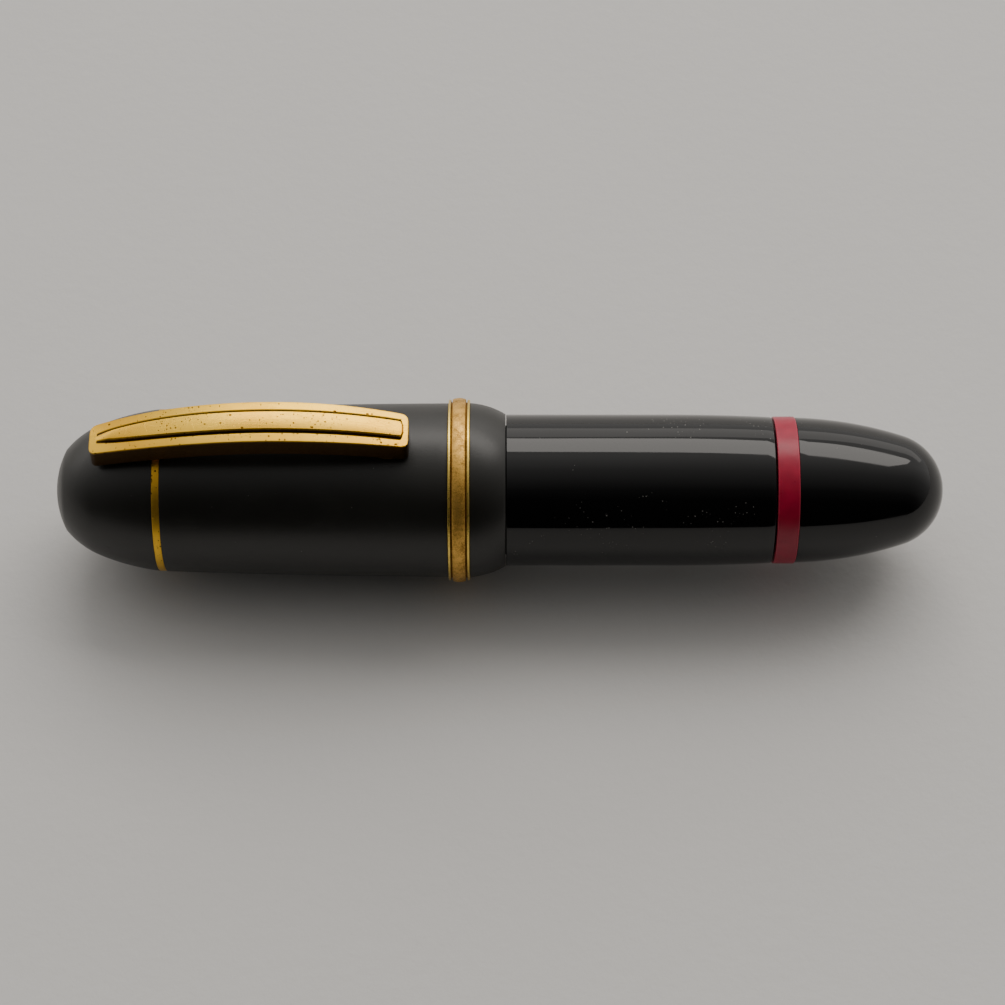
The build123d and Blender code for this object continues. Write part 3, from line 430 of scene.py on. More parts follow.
def moulded(name, shade, rough, mottled=0.3):
    """Plain moulded or turned plastic and rubber, slightly mottled, with fine turning lines."""
    finish = Finish(name)
    cloud = finish.noise(0.8, detail=4.0)
    turning = finish.noise(3.0, (0.5, 6.0, 6.0), detail=2.0)
    base = finish.blend(cloud * mottled, opaque(shade), opaque(shade, 1.8, 0.01))
    finish.paint(Base_Color=base, Roughness=rough - 0.06 + cloud * 0.12)
    finish.relief((turning, 0.01))
    return finish.material


def turned_metal(name, shade, rough):
    """Turned metal with fine rings from the lathe."""
    finish = Finish(name, Metallic=1.0)
    rings = finish.noise(4.0, (0.4, 8.0, 8.0), detail=3.0)
    cloud = finish.noise(0.7, detail=4.0)
    base = finish.blend(cloud * 0.4, opaque(shade), opaque(shade, 0.7))
    finish.paint(Base_Color=base, Roughness=rough + rings * 0.12)
    finish.relief((rings, 0.008))
    return finish.material


def table_top(colours):
    finish = Finish("table_top")
    fibre = finish.noise(0.6, detail=6.0, roughness=0.6)
    cloud = finish.noise(0.03, detail=3.0)
    shade = finish.blend(fibre * 0.5 + cloud * 0.5, opaque(colours.floor, 0.94), opaque(colours.floor))
    finish.paint(Base_Color=shade, Roughness=0.62 + fibre * 0.2)
    finish.relief((fibre, 0.05))
    return finish.material


def finish_once(maker, colours, name=None, *details):
    """The maker's material of that name, made the first time it is asked for."""
    made = bpy.data.materials.get(name or maker.__name__)
    return made or (maker(colours, name, *details) if name else maker(colours))


# ---- Mesh building ----
def arc(start, through, end, count=12):
    """Points after start, up to and with end, on the circle through three points."""
    (x1, y1), (x2, y2), (x3, y3) = start, through, end
    twice = 2 * (x1 * (y2 - y3) + x2 * (y3 - y1) + x3 * (y1 - y2))
    one, two, three = x1**2 + y1**2, x2**2 + y2**2, x3**2 + y3**2
    cx = (one * (y2 - y3) + two * (y3 - y1) + three * (y1 - y2)) / twice
    cy = (one * (x3 - x2) + two * (x1 - x3) + three * (x2 - x1)) / twice
    radius = math.hypot(x1 - cx, y1 - cy)
    first = math.atan2(y1 - cy, x1 - cx)
    sweep = math.remainder(math.atan2(y2 - cy, x2 - cx) - first, FULL_TURN)
    sweep += math.remainder(math.atan2(y3 - cy, x3 - cx) - first - sweep, FULL_TURN)
    angles = [first + sweep * step / count for step in range(1, count + 1)]
    return [(cx + radius * math.cos(angle), cy + radius * math.sin(angle)) for angle in angles]


def outline(start, *steps):
    """Corners of a turned profile. A step is the next (x, radius), or a pair (through, end) of an arc."""
    points = [start]
    for step in steps:
        if isinstance(step[0], tuple):
            points += arc(points[-1], *step)
        else:
            points.append(step)
    return points


def ball_nose(depth, edge, share=0.3):
    """Depth and radius of the point a share along a ball nose that is open to `edge` at `depth`."""
    ball = (edge**2 + depth**2) / (2 * depth)
    inside = share * depth
    return inside, math.sqrt(2 * ball * inside - inside**2)


def add_piece(name, bm, material, body, replaced, bend=None):
    """Makes a piece from a bmesh and ties it to the frame's body; a piece given `bend` is left untied in place
    instead.
    """
    mesh = bpy.data.meshes.new(name)
    bm.to_mesh(mesh)
    bm.free()
    mesh.materials.append(material)
    for polygon in mesh.polygons:
        polygon.use_smooth = True
    mesh.set_sharp_from_angle(angle=CREASE)
    piece = bpy.data.objects.new(name, mesh)
    bpy.context.scene.collection.objects.link(piece)
    shading = piece.modifiers.new("even_shading", "WEIGHTED_NORMAL")
    shading.keep_sharp = True
    if bend is None:
        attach(piece, body)
    else:
        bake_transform(piece)
    if replaced:
        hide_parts(*replaced)
    return piece


def soften(bm, edges, width, segments=3):
    """Rounds edges."""
    bmesh.ops.bevel(bm, geom=edges, offset=width, offset_type="OFFSET", affect="EDGES", segments=segments,
                    profile=0.5, material=-1, clamp_overlap=True)


def spun(profile, edge, steps=TURN_STEPS):
    """Closed mesh turned from a profile about the pen's axis, with its sharp rings rounded."""
    bm = bmesh.new()
    corners = [bm.verts.new((x, radius, 0.0)) for x, radius in profile]
    following = corners[1:] + corners[:1]
    on_axis = abs(profile[0][1]) + abs(profile[-1][1]) < SAME
    pairs = list(zip(corners, following))
    if on_axis:
        pairs = pairs[:-1]
    sides = [bm.edges.new(pair) for pair in pairs]
    bmesh.ops.spin(bm, geom=corners + sides, cent=(0, 0, 0), axis=(1, 0, 0), dvec=(0, 0, 0),
                   angle=FULL_TURN, steps=steps, use_merge=True, use_duplicate=False)
    bmesh.ops.remove_doubles(bm, verts=bm.verts, dist=10 * SAME)
    bmesh.ops.dissolve_degenerate(bm, dist=SAME, edges=bm.edges)
    bmesh.ops.recalc_face_normals(bm, faces=bm.faces)
    rings = [e for e in bm.edges if e.is_manifold and e.calc_face_angle() > RING_CORNER
             and abs(e.verts[0].co.x - e.verts[1].co.x) < SAME]
    if rings and edge:
        soften(bm, rings, edge)
    return bm


def wound(x_from, x_to, root, crest, width, lead, steps_per_turn=96, fade=0.35):
    """Helical ribs about the pen's axis, which rise from the surface over a share of a turn's advance."""
    bm = bmesh.new()
    steps = int(steps_per_turn * (x_to - x_from) / lead)
    shift = (x_to - x_from) / steps
    base = [(-width / 2, root), (-width / 4, crest), (width / 4, crest), (width / 2, root)]
    for start in range(THREAD_STARTS):
        corners = [bm.verts.new((x_from + x, radius, 0.0)) for x, radius in base]
        face = bm.faces.new(corners)
        section = [face] + list(face.edges) + corners
        angle = FULL_TURN * start / THREAD_STARTS
        bmesh.ops.rotate(bm, verts=corners, cent=(0, 0, 0), matrix=Matrix.Rotation(angle, 3, "X"))
        bmesh.ops.spin(bm, geom=section, cent=(0, 0, 0), axis=(1, 0, 0), dvec=(shift, 0, 0),
                       angle=FULL_TURN * (x_to - x_from) / lead, steps=steps,
                       use_merge=False, use_duplicate=False)
    bmesh.ops.remove_doubles(bm, verts=bm.verts, dist=SAME)
    for vert in bm.verts:
        away = min(vert.co.x - x_from, x_to - vert.co.x)
        rise = min(1.0, max(0.0, away / (fade * lead)))
        reach = math.hypot(vert.co.y, vert.co.z)
        wanted = root + (reach - root) * rise
        vert.co.y *= wanted / reach
        vert.co.z *= wanted / reach
    bmesh.ops.recalc_face_normals(bm, faces=bm.faces)
    return bm


class ClipShape:
    """The clip's arch, width and rib as functions of the place along the pen."""

    RIB_LEAST = 0.12 * MM   # keeps the rib's lines apart where the rib has faded out
    TOP_GAP = 0.04 * MM     # rib's top below the frame's clip
    RIB_START = 0.5 * MM    # from the dome end
    RIB_STOP = 0.55 * MM    # from the free end
    RIB_FULL = 4 * MM       # from the peak, where the rib has its full width
    POINT_GROWTH, POINT_ROUND = 2.4, 0.58
    END_ROUND = 0.4         # share of the rib's end width

    def __init__(self, sizes):
        low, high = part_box("clip")
        self.sizes = sizes
        self.dome_end = low[0]
        self.free_end = high[0]
        self.half_width = high[1]
        self.peak_x = self.free_end - sizes.clip_peak_back
        self.peak_height = high[2] - sizes.rib_height - self.TOP_GAP
        span = self.peak_x - self.dome_end
        self.radius = (span**2 + sizes.clip_drop**2) / (2 * sizes.clip_drop)

    def height(self, x):
        """Height of the ledges' line above the pen's axis."""
        return self.peak_height - self.radius + math.sqrt(self.radius**2 - (x - self.peak_x) ** 2)

    def width(self, x):
        """Half width from above, with rounded corners at both ends."""
        if x < self.peak_x:
            share = (self.peak_x - x) / (self.peak_x - self.dome_end)
            half = self.half_width - (self.half_width - self.sizes.clip_end_width) * share**3
        else:
            share = (x - self.peak_x) / (self.free_end - self.peak_x)
            half = self.half_width - (self.half_width - self.sizes.clip_free_width) * share**2
        corner = self.sizes.clip_corner
        inside = min(x - self.dome_end, self.free_end - x)
        if inside < corner:
            half -= corner - math.sqrt(max(0.0, corner**2 - (corner - inside) ** 2))
        return half

    def rib(self, x):
        """Half width of the raised rib: a long point over the dome, a round end at the free end."""
        start = self.dome_end + self.RIB_START
        stop = self.free_end - self.RIB_STOP
        if x <= start or x >= stop:
            return self.RIB_LEAST
        growth = min(1.0, (x - start) / (self.peak_x - self.RIB_FULL - start))
        half = self.sizes.rib_width * (1 - (1 - growth) ** self.POINT_GROWTH) ** self.POINT_ROUND
        if x > self.peak_x:
            share = (x - self.peak_x) / (self.free_end - self.peak_x)
            half -= (self.sizes.rib_width - self.sizes.rib_free_width) * share**2
        end_round = self.sizes.rib_free_width * self.END_ROUND
        if stop - x < end_round:
            half *= math.sqrt(max(0.0, 1 - ((end_round - (stop - x)) / end_round) ** 2))
        return max(half, self.RIB_LEAST)


# ---- Pieces ----
class Piece:
    """Shared by the operators that build pieces: reads the scene's sizes and colours."""

    bl_options = {"REGISTER", "UNDO"}

    def execute(self, context):
        self.build(context.scene.pen_sizes, context.scene.pen_colours)
        return {"FINISHED"}

    def turn(self, name, profile, edge, material, body, node, slot, steps=TURN_STEPS):
        """Adds a turned piece that stands for a frame node."""
        add_piece(name, spun(profile, edge, steps), material, body, [node])


class PEN_OT_barrel(Piece, bpy.types.Operator):
    """Builds the polished barrel with its neck and the ink chamber's bore"""

    bl_idname = "pen.barrel"
    bl_label = "Barrel"

    TAPER_MIDDLE = (0.55, 0.33)   # shares of the taper's length and drop
    CONE_GAP = 0.5 * MM           # from the grip's tenon to the chamber's cone
    THREAD_SINK = 0.1 * MM

    def build(self, sizes, colours):
        neck_end, tail = ends("barrel")
        radius = girth("barrel")
        root = radius - sizes.neck_step
        tail_radius = radius - sizes.taper
        taper_start = tail - sizes.taper_length
        along, drop = self.TAPER_MIDDLE
        taper_middle = (taper_start + along * sizes.taper_length, radius - drop * sizes.taper)
        seat_bore = girth("filler_housing") + sizes.fit_gap
        chamber_bore = seat_bore - sizes.seat_step
        neck_bore = girth("section_gasket") + sizes.fit_gap
        seat = ends("filler_housing")[0]
        cone_end = ends("grip_section")[1] + self.CONE_GAP + sizes.chamber_cone
        profile = outline(
            (neck_end, neck_bore), (neck_end, root), (0.0, root), (0.0, radius), (taper_start * 0.5, radius),
            (taper_start, radius), (taper_middle, (tail, tail_radius)), (tail, seat_bore), (seat, seat_bore),
            (seat, chamber_bore), (cone_end, chamber_bore), (cone_end - sizes.chamber_cone, neck_bore))
        polished = finish_once(polished_black, colours)
        self.turn("barrel_shell", profile, sizes.edge, polished, "barrel", "barrel", "barrel_black")
        thread = wound(neck_end + sizes.thread_runout, -sizes.thread_runout, root - self.THREAD_SINK,
                       root + sizes.thread_depth, sizes.thread_width, sizes.thread_lead)
        add_piece("neck_thread", thread, polished, "barrel", [])


class PEN_OT_grip(Piece, bpy.types.Operator):
    """Builds the waisted grip that holds the nib"""

    bl_idname = "pen.grip"
    bl_label = "Grip"

    WALL = 1.7 * MM          # at the waist
    LIP_RISE = 0.5 * MM      # lip above the waist
    LIP_CREST = 0.7 * MM     # from the mouth
    LIP_LENGTH = 1.6 * MM
    LIP_FALL = 0.2 * MM      # from the crest to the lip's end
    FLANGE_WIDTH = 1.0 * MM
    COLLAR_DEPTH = 11.5 * MM
    COLLAR_STEP = 1.0 * MM

    def build(self, sizes, colours):
        mouth, tenon_end = ends("grip_section")
        neck_end = ends("barrel")[0]
        flange = girth("grip_section")
        tenon = girth("section_gasket")
        bore = girth("nib_collar") + sizes.fit_gap
        channel = bore - self.COLLAR_STEP
        collar_end = mouth + self.COLLAR_DEPTH
        waist = bore + self.WALL
        lip = waist + self.LIP_RISE
        flange_end = neck_end - self.FLANGE_WIDTH
        lip_start = mouth + self.LIP_LENGTH
        waist_x = (flange_end + 2 * lip_start) / 3
        profile = outline(
            (mouth, bore), (mouth, waist), ((mouth + self.LIP_CREST, lip), (lip_start, lip - self.LIP_FALL)),
            ((waist_x, waist), (flange_end, flange)), (neck_end, flange), (neck_end, tenon),
            (tenon_end, tenon), (tenon_end, channel), (collar_end, channel), (collar_end, bore))
        polished = finish_once(polished_black, colours)
        self.turn("grip", profile, sizes.edge, polished, "barrel", "grip_section", "barrel_black")


class PEN_OT_nib(Piece, bpy.types.Operator):
    """Presses the nib from a sheet: curved over the feed, with its slit and breather hole"""

    bl_idname = "pen.nib"
    bl_label = "Nib"

    TIP_RADIUS = 1.35 * MM
    TIP_HALF_WIDTH = 0.4 * MM
    TAPER_SET_BACK = 2.5 * MM
    SLIT = 0.03 * MM
    BREATHER = 0.45 * MM
    BREATHER_BACK = 7.6 * MM
    SHEET = 0.28 * MM
    TIP_GAP = 0.01 * MM
    NARROWING = 1.18
    GRID = (260, 24)

    def build(self, sizes, colours):
        tip, back = ends("nib")
        tip += self.TIP_GAP
        shoulder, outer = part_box("nib")[1][1:]
        taper_start = ends("grip_section")[0] - self.TAPER_SET_BACK
        bm = bmesh.new()
        bmesh.ops.create_grid(bm, x_segments=self.GRID[0], y_segments=self.GRID[1], size=1.0)
        for vert in bm.verts:
            x = back + (tip - back) * (vert.co.x + 1) / 2
            narrowing = min(1.0, max(0.0, (taper_start - x) / (taper_start - tip)))
            spread = (shoulder - self.TIP_HALF_WIDTH) * (1 - narrowing) ** self.NARROWING
            half = self.TIP_HALF_WIDTH + spread
            radius = outer + (self.TIP_RADIUS - outer) * narrowing
            opening = self.opening(x - tip - self.BREATHER_BACK)
            y = opening + (half - opening) * (vert.co.y + 1) / 2
            vert.co = (x, y, math.sqrt(radius**2 - y**2))
        bmesh.ops.mirror(bm, geom=bm.verts[:] + bm.edges[:] + bm.faces[:], axis="Y", merge_dist=10 * SAME)
        bmesh.ops.recalc_face_normals(bm, faces=bm.faces)
        if bm.faces[:][0].normal.z < 0:
            bmesh.ops.reverse_faces(bm, faces=bm.faces)
        bmesh.ops.solidify(bm, geom=bm.faces, thickness=self.SHEET)
        material = finish_once(gold_plate, colours, "nib_plate", 0.14, 0.25)
        add_piece("nib_blade", bm, material, "barrel", ["nib"])

    def opening(self, beyond):
        """Half width of what is cut from the nib's middle: the slit, and the breather hole behind it."""
        slit = self.SLIT if beyond < 0 else 0.0
        return max(slit, math.sqrt(max(0.0, self.BREATHER**2 - beyond**2)))


class PEN_OT_red_ring(Piece, bpy.types.Operator):
    """Turns the crimson ring in front of the knob"""

    bl_idname = "pen.red_ring"
    bl_label = "Red ring"

    EDGE_SHARE = 1.6   # rounder than the black pieces

    def build(self, sizes, colours):
        front, back = ends("red_ring")
        radius = girth("red_ring")
        bore = NUT_HUB_RADIUS
        profile = outline((front, bore), (front, radius), (back, radius), (back, bore))
        resin = finish_once(crimson, colours)
        self.turn("crimson_ring", profile, sizes.edge * self.EDGE_SHARE, resin, "knob", "red_ring", "ring_red")


class PEN_OT_knob(Piece, bpy.types.Operator):
    """Turns the bullet-shaped knob that drives the piston"""

    bl_idname = "pen.knob"
    bl_label = "Filling knob"

    CAVITY_RADIUS = 3.4 * MM
    ROD_ROOM = 1.5 * MM   # cavity beyond the rod's end

    def build(self, sizes, colours):
        front, tip = ends("filling_knob")
        radius = girth("filling_knob")
        nose_edge = radius - sizes.knob_nose_step
        nose_start = tip - sizes.knob_nose
        side = ((front + nose_start) / 2, (radius + nose_edge) / 2 + sizes.knob_bulge)
        inside, nose_radius = ball_nose(sizes.knob_nose, nose_edge)
        hub_end = front + sizes.knob_hub
        cavity_end = ends("piston_rod")[1] + self.ROD_ROOM
        profile = outline(
            (cavity_end, 0.0), (cavity_end, self.CAVITY_RADIUS), (hub_end, self.CAVITY_RADIUS),
            (hub_end, NUT_HUB_RADIUS), (front, NUT_HUB_RADIUS), (front, radius),
            (side, (nose_start, nose_edge)), ((tip - inside, nose_radius), (tip, 0.0)))
        polished = finish_once(polished_black, colours)
        self.turn("knob_shell", profile, sizes.edge, polished, "knob", "filling_knob", "barrel_black")


class PEN_OT_dome(Piece, bpy.types.Operator):
    """Turns the cap's satin dome with its tenon"""

    bl_idname = "pen.dome"
    bl_label = "Cap dome"

    # The dome's cheek, shoulder and flare: back from its tip, and below its largest radius
    OUTLINE = ((2.41 * MM, 2.97 * MM), (4.56 * MM, 1.7 * MM), (7.6 * MM, 0.66 * MM))
    RING_WIDTH = 0.8 * MM
    TENON_WALL = 0.95 * MM
    LINER_GAP = 0.2 * MM
    CAVITY_CHAMFER = 0.6 * MM

    def build(self, sizes, colours):
        tip, tenon_end = ends("cap_dome")
        radius = girth("cap_dome")
        back = ends("cap_tube")[0] - self.RING_WIDTH
        nose_edge = radius - sizes.dome_nose_step
        inside, nose_radius = ball_nose(sizes.dome_nose, nose_edge)
        tenon = girth("inner_cap") + sizes.fit_gap
        bore = tenon - self.TENON_WALL
        cavity = ends("inner_cap")[0] - self.LINER_GAP
        cheek, shoulder, flare = ((tip + x, radius - step) for x, step in self.OUTLINE)
        profile = outline(
            (tip, 0.0), ((tip + inside, nose_radius), (tip + sizes.dome_nose, nose_edge)), (cheek, shoulder),
            (flare, (back, radius)), (back, tenon), (tenon_end, tenon), (tenon_end, bore),
            (cavity + self.CAVITY_CHAMFER, bore), (cavity, bore - self.CAVITY_CHAMFER), (cavity, 0.0))
        satin = finish_once(satin_black, colours)
        self.turn("dome_shell", profile, sizes.edge, satin, "cap", "cap_dome", "cap_black")


class PEN_OT_clip_ring(Piece, bpy.types.Operator):
    """Builds the thin gold ring and the lug that the clip turns on"""

    bl_idname = "pen.clip_ring"
    bl_label = "Clip ring"

    LUG_WIDTH = 2 * MM
    LUG_FOOT = 0.4 * MM    # lug's wide part above the ring
    NECK_SINK = 0.5 * MM   # lug's neck above the ring's bore
    HEAD_ROUND = 0.98      # share of the lug's half length

    def build(self, sizes, colours):
        low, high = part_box("clip_pin")
        middle = (low[0] + high[0]) / 2
        pin_height = (low[2] + high[2]) / 2
        radius = girth("clip_ring")
        half = ends("cap_tube")[0] - middle
        bore = girth("inner_cap") + 2 * sizes.fit_gap
        gold = finish_once(gold_plate, colours)
        old_plate = finish_once(gold_plate, colours, "ring_plate", 0.30, 1.9)
        profile = outline((middle - half, bore), (middle - half, radius), (middle + half, radius),
                          (middle + half, bore))
        self.turn("ring_shell", profile, sizes.edge, old_plate, "cap", "clip_ring", "gold_trim")
        lug_half = (ends("clip_ring")[1] - ends("clip_ring")[0]) / 2
        foot = radius + self.LUG_FOOT
        bm = bmesh.new()
        bmesh.ops.create_cube(bm, size=1.0)
        size = (2 * lug_half, self.LUG_WIDTH, pin_height + lug_half - foot)
        bmesh.ops.scale(bm, vec=size, verts=bm.verts)
        bmesh.ops.translate(bm, vec=(middle, 0, (pin_height + lug_half + foot) / 2), verts=bm.verts)
        head = [e for e in bm.edges if all(v.co.z > pin_height for v in e.verts)
                and abs(e.verts[0].co.y - e.verts[1].co.y) > self.LUG_WIDTH / 2]
        soften(bm, head, lug_half * self.HEAD_ROUND, 10)
        floor_face = min(bm.faces, key=lambda face: face.calc_center_median().z)
        bmesh.ops.inset_individual(bm, faces=[floor_face], thickness=lug_half - half)
        grown = bmesh.ops.extrude_face_region(bm, geom=[floor_face])
        new_verts = [v for v in grown["geom"] if isinstance(v, bmesh.types.BMVert)]
        bmesh.ops.translate(bm, vec=(0, 0, bore + self.NECK_SINK - foot), verts=new_verts)
        bmesh.ops.delete(bm, geom=[floor_face], context="FACES_ONLY")
        bmesh.ops.recalc_face_normals(bm, faces=bm.faces)
        add_piece("clip_lug", bm, gold, "cap", [])


class PEN_OT_tube(Piece, bpy.types.Operator):
    """Turns the cap's satin tube, which swells a little between its ends"""

    bl_idname = "pen.tube"
    bl_label = "Cap tube"

    LINER_GAP = 0.1 * MM
    LINER_STEP = 0.3 * MM
    DOME_ROOM = 1.2 * MM
    BUSH_STEP = 0.22 * MM

    def build(self, sizes, colours):
        back, front = ends("cap_tube")
        mouth_radius = girth("cap_tube")
        rear_bore = girth("inner_cap") + self.LINER_GAP
        top_radius = rear_bore + sizes.cap_wall
        bore = rear_bore - self.LINER_STEP
        shoulder = ends("cap_dome")[1] + self.DOME_ROOM
        front_bore = bore + self.BUSH_STEP + sizes.bush_wall + sizes.fit_gap
        bush_back = ends("cap_lip_bush")[0]
        middle = ((back + front) / 2, (top_radius + mouth_radius) / 2 + sizes.cap_bulge)
        profile = [(back, rear_bore), (back, top_radius)]
        profile += arc(profile[-1], middle, (front, mouth_radius), count=24)
        profile += [(front, front_bore), (bush_back, front_bore), (bush_back, bore), (shoulder, bore),
                    (shoulder, rear_bore)]
        satin = finish_once(satin_black, colours)
        self.turn("tube_shell", profile, sizes.edge, satin, "cap", "cap_tube", "cap_black")


class PEN_OT_band(Piece, bpy.types.Operator):
    """Turns the worn cap band: a low crown between two thin rims and grooves"""

    bl_idname = "pen.band"
    bl_label = "Cap band"

    SINK = 0.65 * MM        # band let into the tube
    CROWN_FALL = 0.14 * MM
    EDGE = 0.055 * MM
    STEPS = 256

    def build(self, sizes, colours):
        back, front = ends("cap_band")
        mouth = girth("cap_tube")
        crown = girth("cap_band")
        rim = mouth + sizes.band_rim_rise
        groove = mouth + sizes.band_groove_rise
        inner = mouth - self.SINK
        edge = crown - self.CROWN_FALL
        left = back + sizes.band_rim
        right = front - sizes.band_rim
        crown_left = left + sizes.band_groove
        crown_right = right - sizes.band_groove
        profile = outline(
            (back, inner), (back, rim), (left, rim), (left, groove), (crown_left, groove),
            (crown_left, edge), (((left + right) / 2, crown), (crown_right, edge)), (crown_right, groove),
            (right, groove), (right, rim), (front, rim), (front, inner))
        worn = finish_once(worn_band, colours)
        self.turn("band_shell", profile, self.EDGE, worn, "cap", "cap_band", "band_gold", self.STEPS)


class PEN_OT_lip(Piece, bpy.types.Operator):
    """Turns the cap's lip and the threaded bush behind it"""

    bl_idname = "pen.lip"
    bl_label = "Cap lip"

    THREAD_GAP = 0.07 * MM
    CURVE_MIDDLE = (0.45, 0.66)   # shares of the lip's length and rise
    RELIEF = 0.3 * MM
    THREAD_SINK = 0.05 * MM
    THREAD_BACK = -9.0 * MM

    def build(self, sizes, colours):
        back, front = ends("cap_lip_bush")
        shoulder = girth("cap_lip_bush")
        band_front = ends("cap_band")[1]
        edge_radius = girth("barrel") + sizes.lip_rise
        bore = girth("barrel") - sizes.neck_step + sizes.thread_depth + self.THREAD_GAP
        outer = bore + sizes.bush_wall
        lip_length = front - band_front
        along, rise = self.CURVE_MIDDLE
        middle = (front - along * lip_length, edge_radius + rise * (shoulder - edge_radius))
        relief_radius = bore + self.RELIEF
        thread_back = self.THREAD_BACK
        thread_front = front - sizes.thread_runout
        profile = outline(
            (back, bore), (back, outer), (band_front, outer), (band_front, shoulder),
            (middle, (front, edge_radius)), (front, bore), (thread_front, bore),
            (thread_front, relief_radius), (thread_back, relief_radius), (thread_back, bore))
        satin = finish_once(satin_black, colours)
        self.turn("lip_shell", profile, sizes.edge, satin, "cap", "cap_lip_bush", "cap_black")
        ribs = wound(thread_back, thread_front, relief_radius + self.THREAD_SINK, bore, sizes.thread_width,
                     sizes.thread_lead)
        add_piece("lip_thread", ribs, satin, "cap", [])


class PEN_OT_clip(Piece, bpy.types.Operator):
    """Presses the arched clip from a sheet, with its rib, its side walls and its foot"""

    bl_idname = "pen.clip"
    bl_label = "Clip"

    # Across the clip from its middle: the pressed line's place beyond the rib (share of its width)
    # and its height (share of the groove's depth).
    LINE = ((0.44, 0.75, 0.0), (0.48, 1.0, -1.0), (0.52, 1.3, -1.0), (0.56, 1.8, -0.15))
    RIB_SHARE = 0.40
    FOOT_RISE = 0.04 * MM
    WALL_STEPS = (0.15, 0.3, 1.0)
    # Painted shade along the clip's rim: its strength and how far in it reaches
    EDGE_BROWN = 0.5
    EDGE_REACH = 0.16 * MM
    GRID = (220, 50)
    RIB_FADE = 0.4 * MM     # rib's half width below which it sinks into the ledge
    RIB_FALL = 0.16         # share of the rib's height lost from its middle to its edge
    LEDGE_FALL = 0.05 * MM
    # Painted shade in the pressed lines beside the rib: strength, middle and spread
    LINE_BROWN, LINE_MIDDLE, LINE_SPREAD = 1.4, 0.95, 1.15
    # Painted shade down the clip's walls
    WALL_BROWN = ((0.0, 0.05), (0.05, 0.1))   # start and stretch of the two halves, shares of the wall
    TOP_SHARE = 0.2         # of the wall's height: deeper vertices aren't on the top
    # Painted shade over the whole foot, which sits under the clip
    FOOT_BROWN = 0.8
    FOOT_EDGE = 0.35 * MM
    ROOF_SHARE = 0.6        # of the sheet: how far the foot reaches up into it

    def build(self, sizes, colours):
        shape = ClipShape(sizes)
        bm = bmesh.new()
        bmesh.ops.create_grid(bm, x_segments=self.GRID[0], y_segments=self.GRID[1], size=1.0)
        self.press(bm, shape, sizes)
        rim = lowest = [edge for edge in bm.edges if edge.is_boundary]
        for share in self.WALL_STEPS:
            grown = bmesh.ops.extrude_edge_only(bm, edges=lowest)["geom"]
            for vert in (item for item in grown if isinstance(item, bmesh.types.BMVert)):
                vert.co.z = shape.height(vert.co.x) - sizes.clip_wall * share
            lowest = [item for item in grown if isinstance(item, bmesh.types.BMEdge) and item.is_boundary]
        bmesh.ops.recalc_face_normals(bm, faces=bm.faces)
        top = max(bm.faces, key=lambda face: face.calc_center_median().z)
        if top.normal.z < 0:
            bmesh.ops.reverse_faces(bm, faces=bm.faces)
        soften(bm, rim, sizes.clip_round, 4)
        bmesh.ops.solidify(bm, geom=bm.faces, thickness=sizes.clip_sheet)
        self.darken(bm, shape, sizes)
        # The clip's plate takes painted shade in brown from its vertex attribute
        gold = finish_once(gold_plate, colours, "clip_plate", 0.20, 1.0, "tarnish")
        add_piece("clip_shell", bm, gold, "clip", ["clip"])
        self.add_foot(shape, sizes, gold)

    def press(self, bm, shape, sizes):
        """Moves a flat grid onto the clip's top: arch, rib, pressed lines and ledges."""
        middle = (shape.dome_end + shape.free_end) / 2
        half_length = (shape.free_end - shape.dome_end) / 2
        for vert in bm.verts:
            along, across = vert.co.x, vert.co.y
            x = middle + half_length * (0.5 * along + 0.5 * math.sin(math.pi / 2 * along))
            side = abs(across)
            rib = shape.rib(x)
            width = shape.width(x)
            sharp = min(1.0, (rib - shape.RIB_LEAST) / self.RIB_FADE)
            sharp = sharp * sharp * (3 - 2 * sharp)
            if side <= self.RIB_SHARE + 1e-6:
                share = side / self.RIB_SHARE
                y = rib * share
                rise = sizes.rib_height * (1 - self.RIB_FALL * share**2) * sharp
            else:
                marks = [(place, rib + beyond * sizes.rib_groove, depth * sizes.rib_groove_depth * sharp)
                         for place, beyond, depth in self.LINE]
                marks.append((1.0, width, -self.LEDGE_FALL))
                before = (self.RIB_SHARE, rib, sizes.rib_height * (1 - self.RIB_FALL) * sharp)
                for mark in marks:
                    if side <= mark[0] + 1e-6:
                        share = (side - before[0]) / (mark[0] - before[0])
                        y = before[1] + (mark[1] - before[1]) * share
                        rise = before[2] + (mark[2] - before[2]) * share
                        break
                    before = mark
            vert.co = (x, math.copysign(min(y, width), across), shape.height(x) + rise)

    def darken(self, bm, shape, sizes):
        """Marks painted shade in brown: the pressed lines, the walls and their corners, and the clip's rim."""
        layer = bm.verts.layers.float.new("tarnish")
        for vert in bm.verts:
            rib = shape.rib(vert.co.x)
            beyond = (abs(vert.co.y) - rib) / sizes.rib_groove
            drop = (shape.height(vert.co.x) - vert.co.z) / sizes.clip_wall
            line = 0.0
            if rib > 1.5 * shape.RIB_LEAST and drop < self.TOP_SHARE:
                closeness = 1 - abs(beyond - self.LINE_MIDDLE) / self.LINE_SPREAD
                line = min(1.0, max(0.0, self.LINE_BROWN * closeness))
            # Painted shade: the darkest of the pressed lines, the walls and the rim
            wall = sum(min(1.0, max(0.0, (drop - start) / span)) / 2 for start, span in self.WALL_BROWN)
            inside = min(shape.width(vert.co.x) - abs(vert.co.y), vert.co.x - shape.dome_end,
                         shape.free_end - vert.co.x)
            painted_edge_shade = self.EDGE_BROWN * max(0.0, 1 - inside / self.EDGE_REACH)
            vert[layer] = max(line, wall, painted_edge_shade)

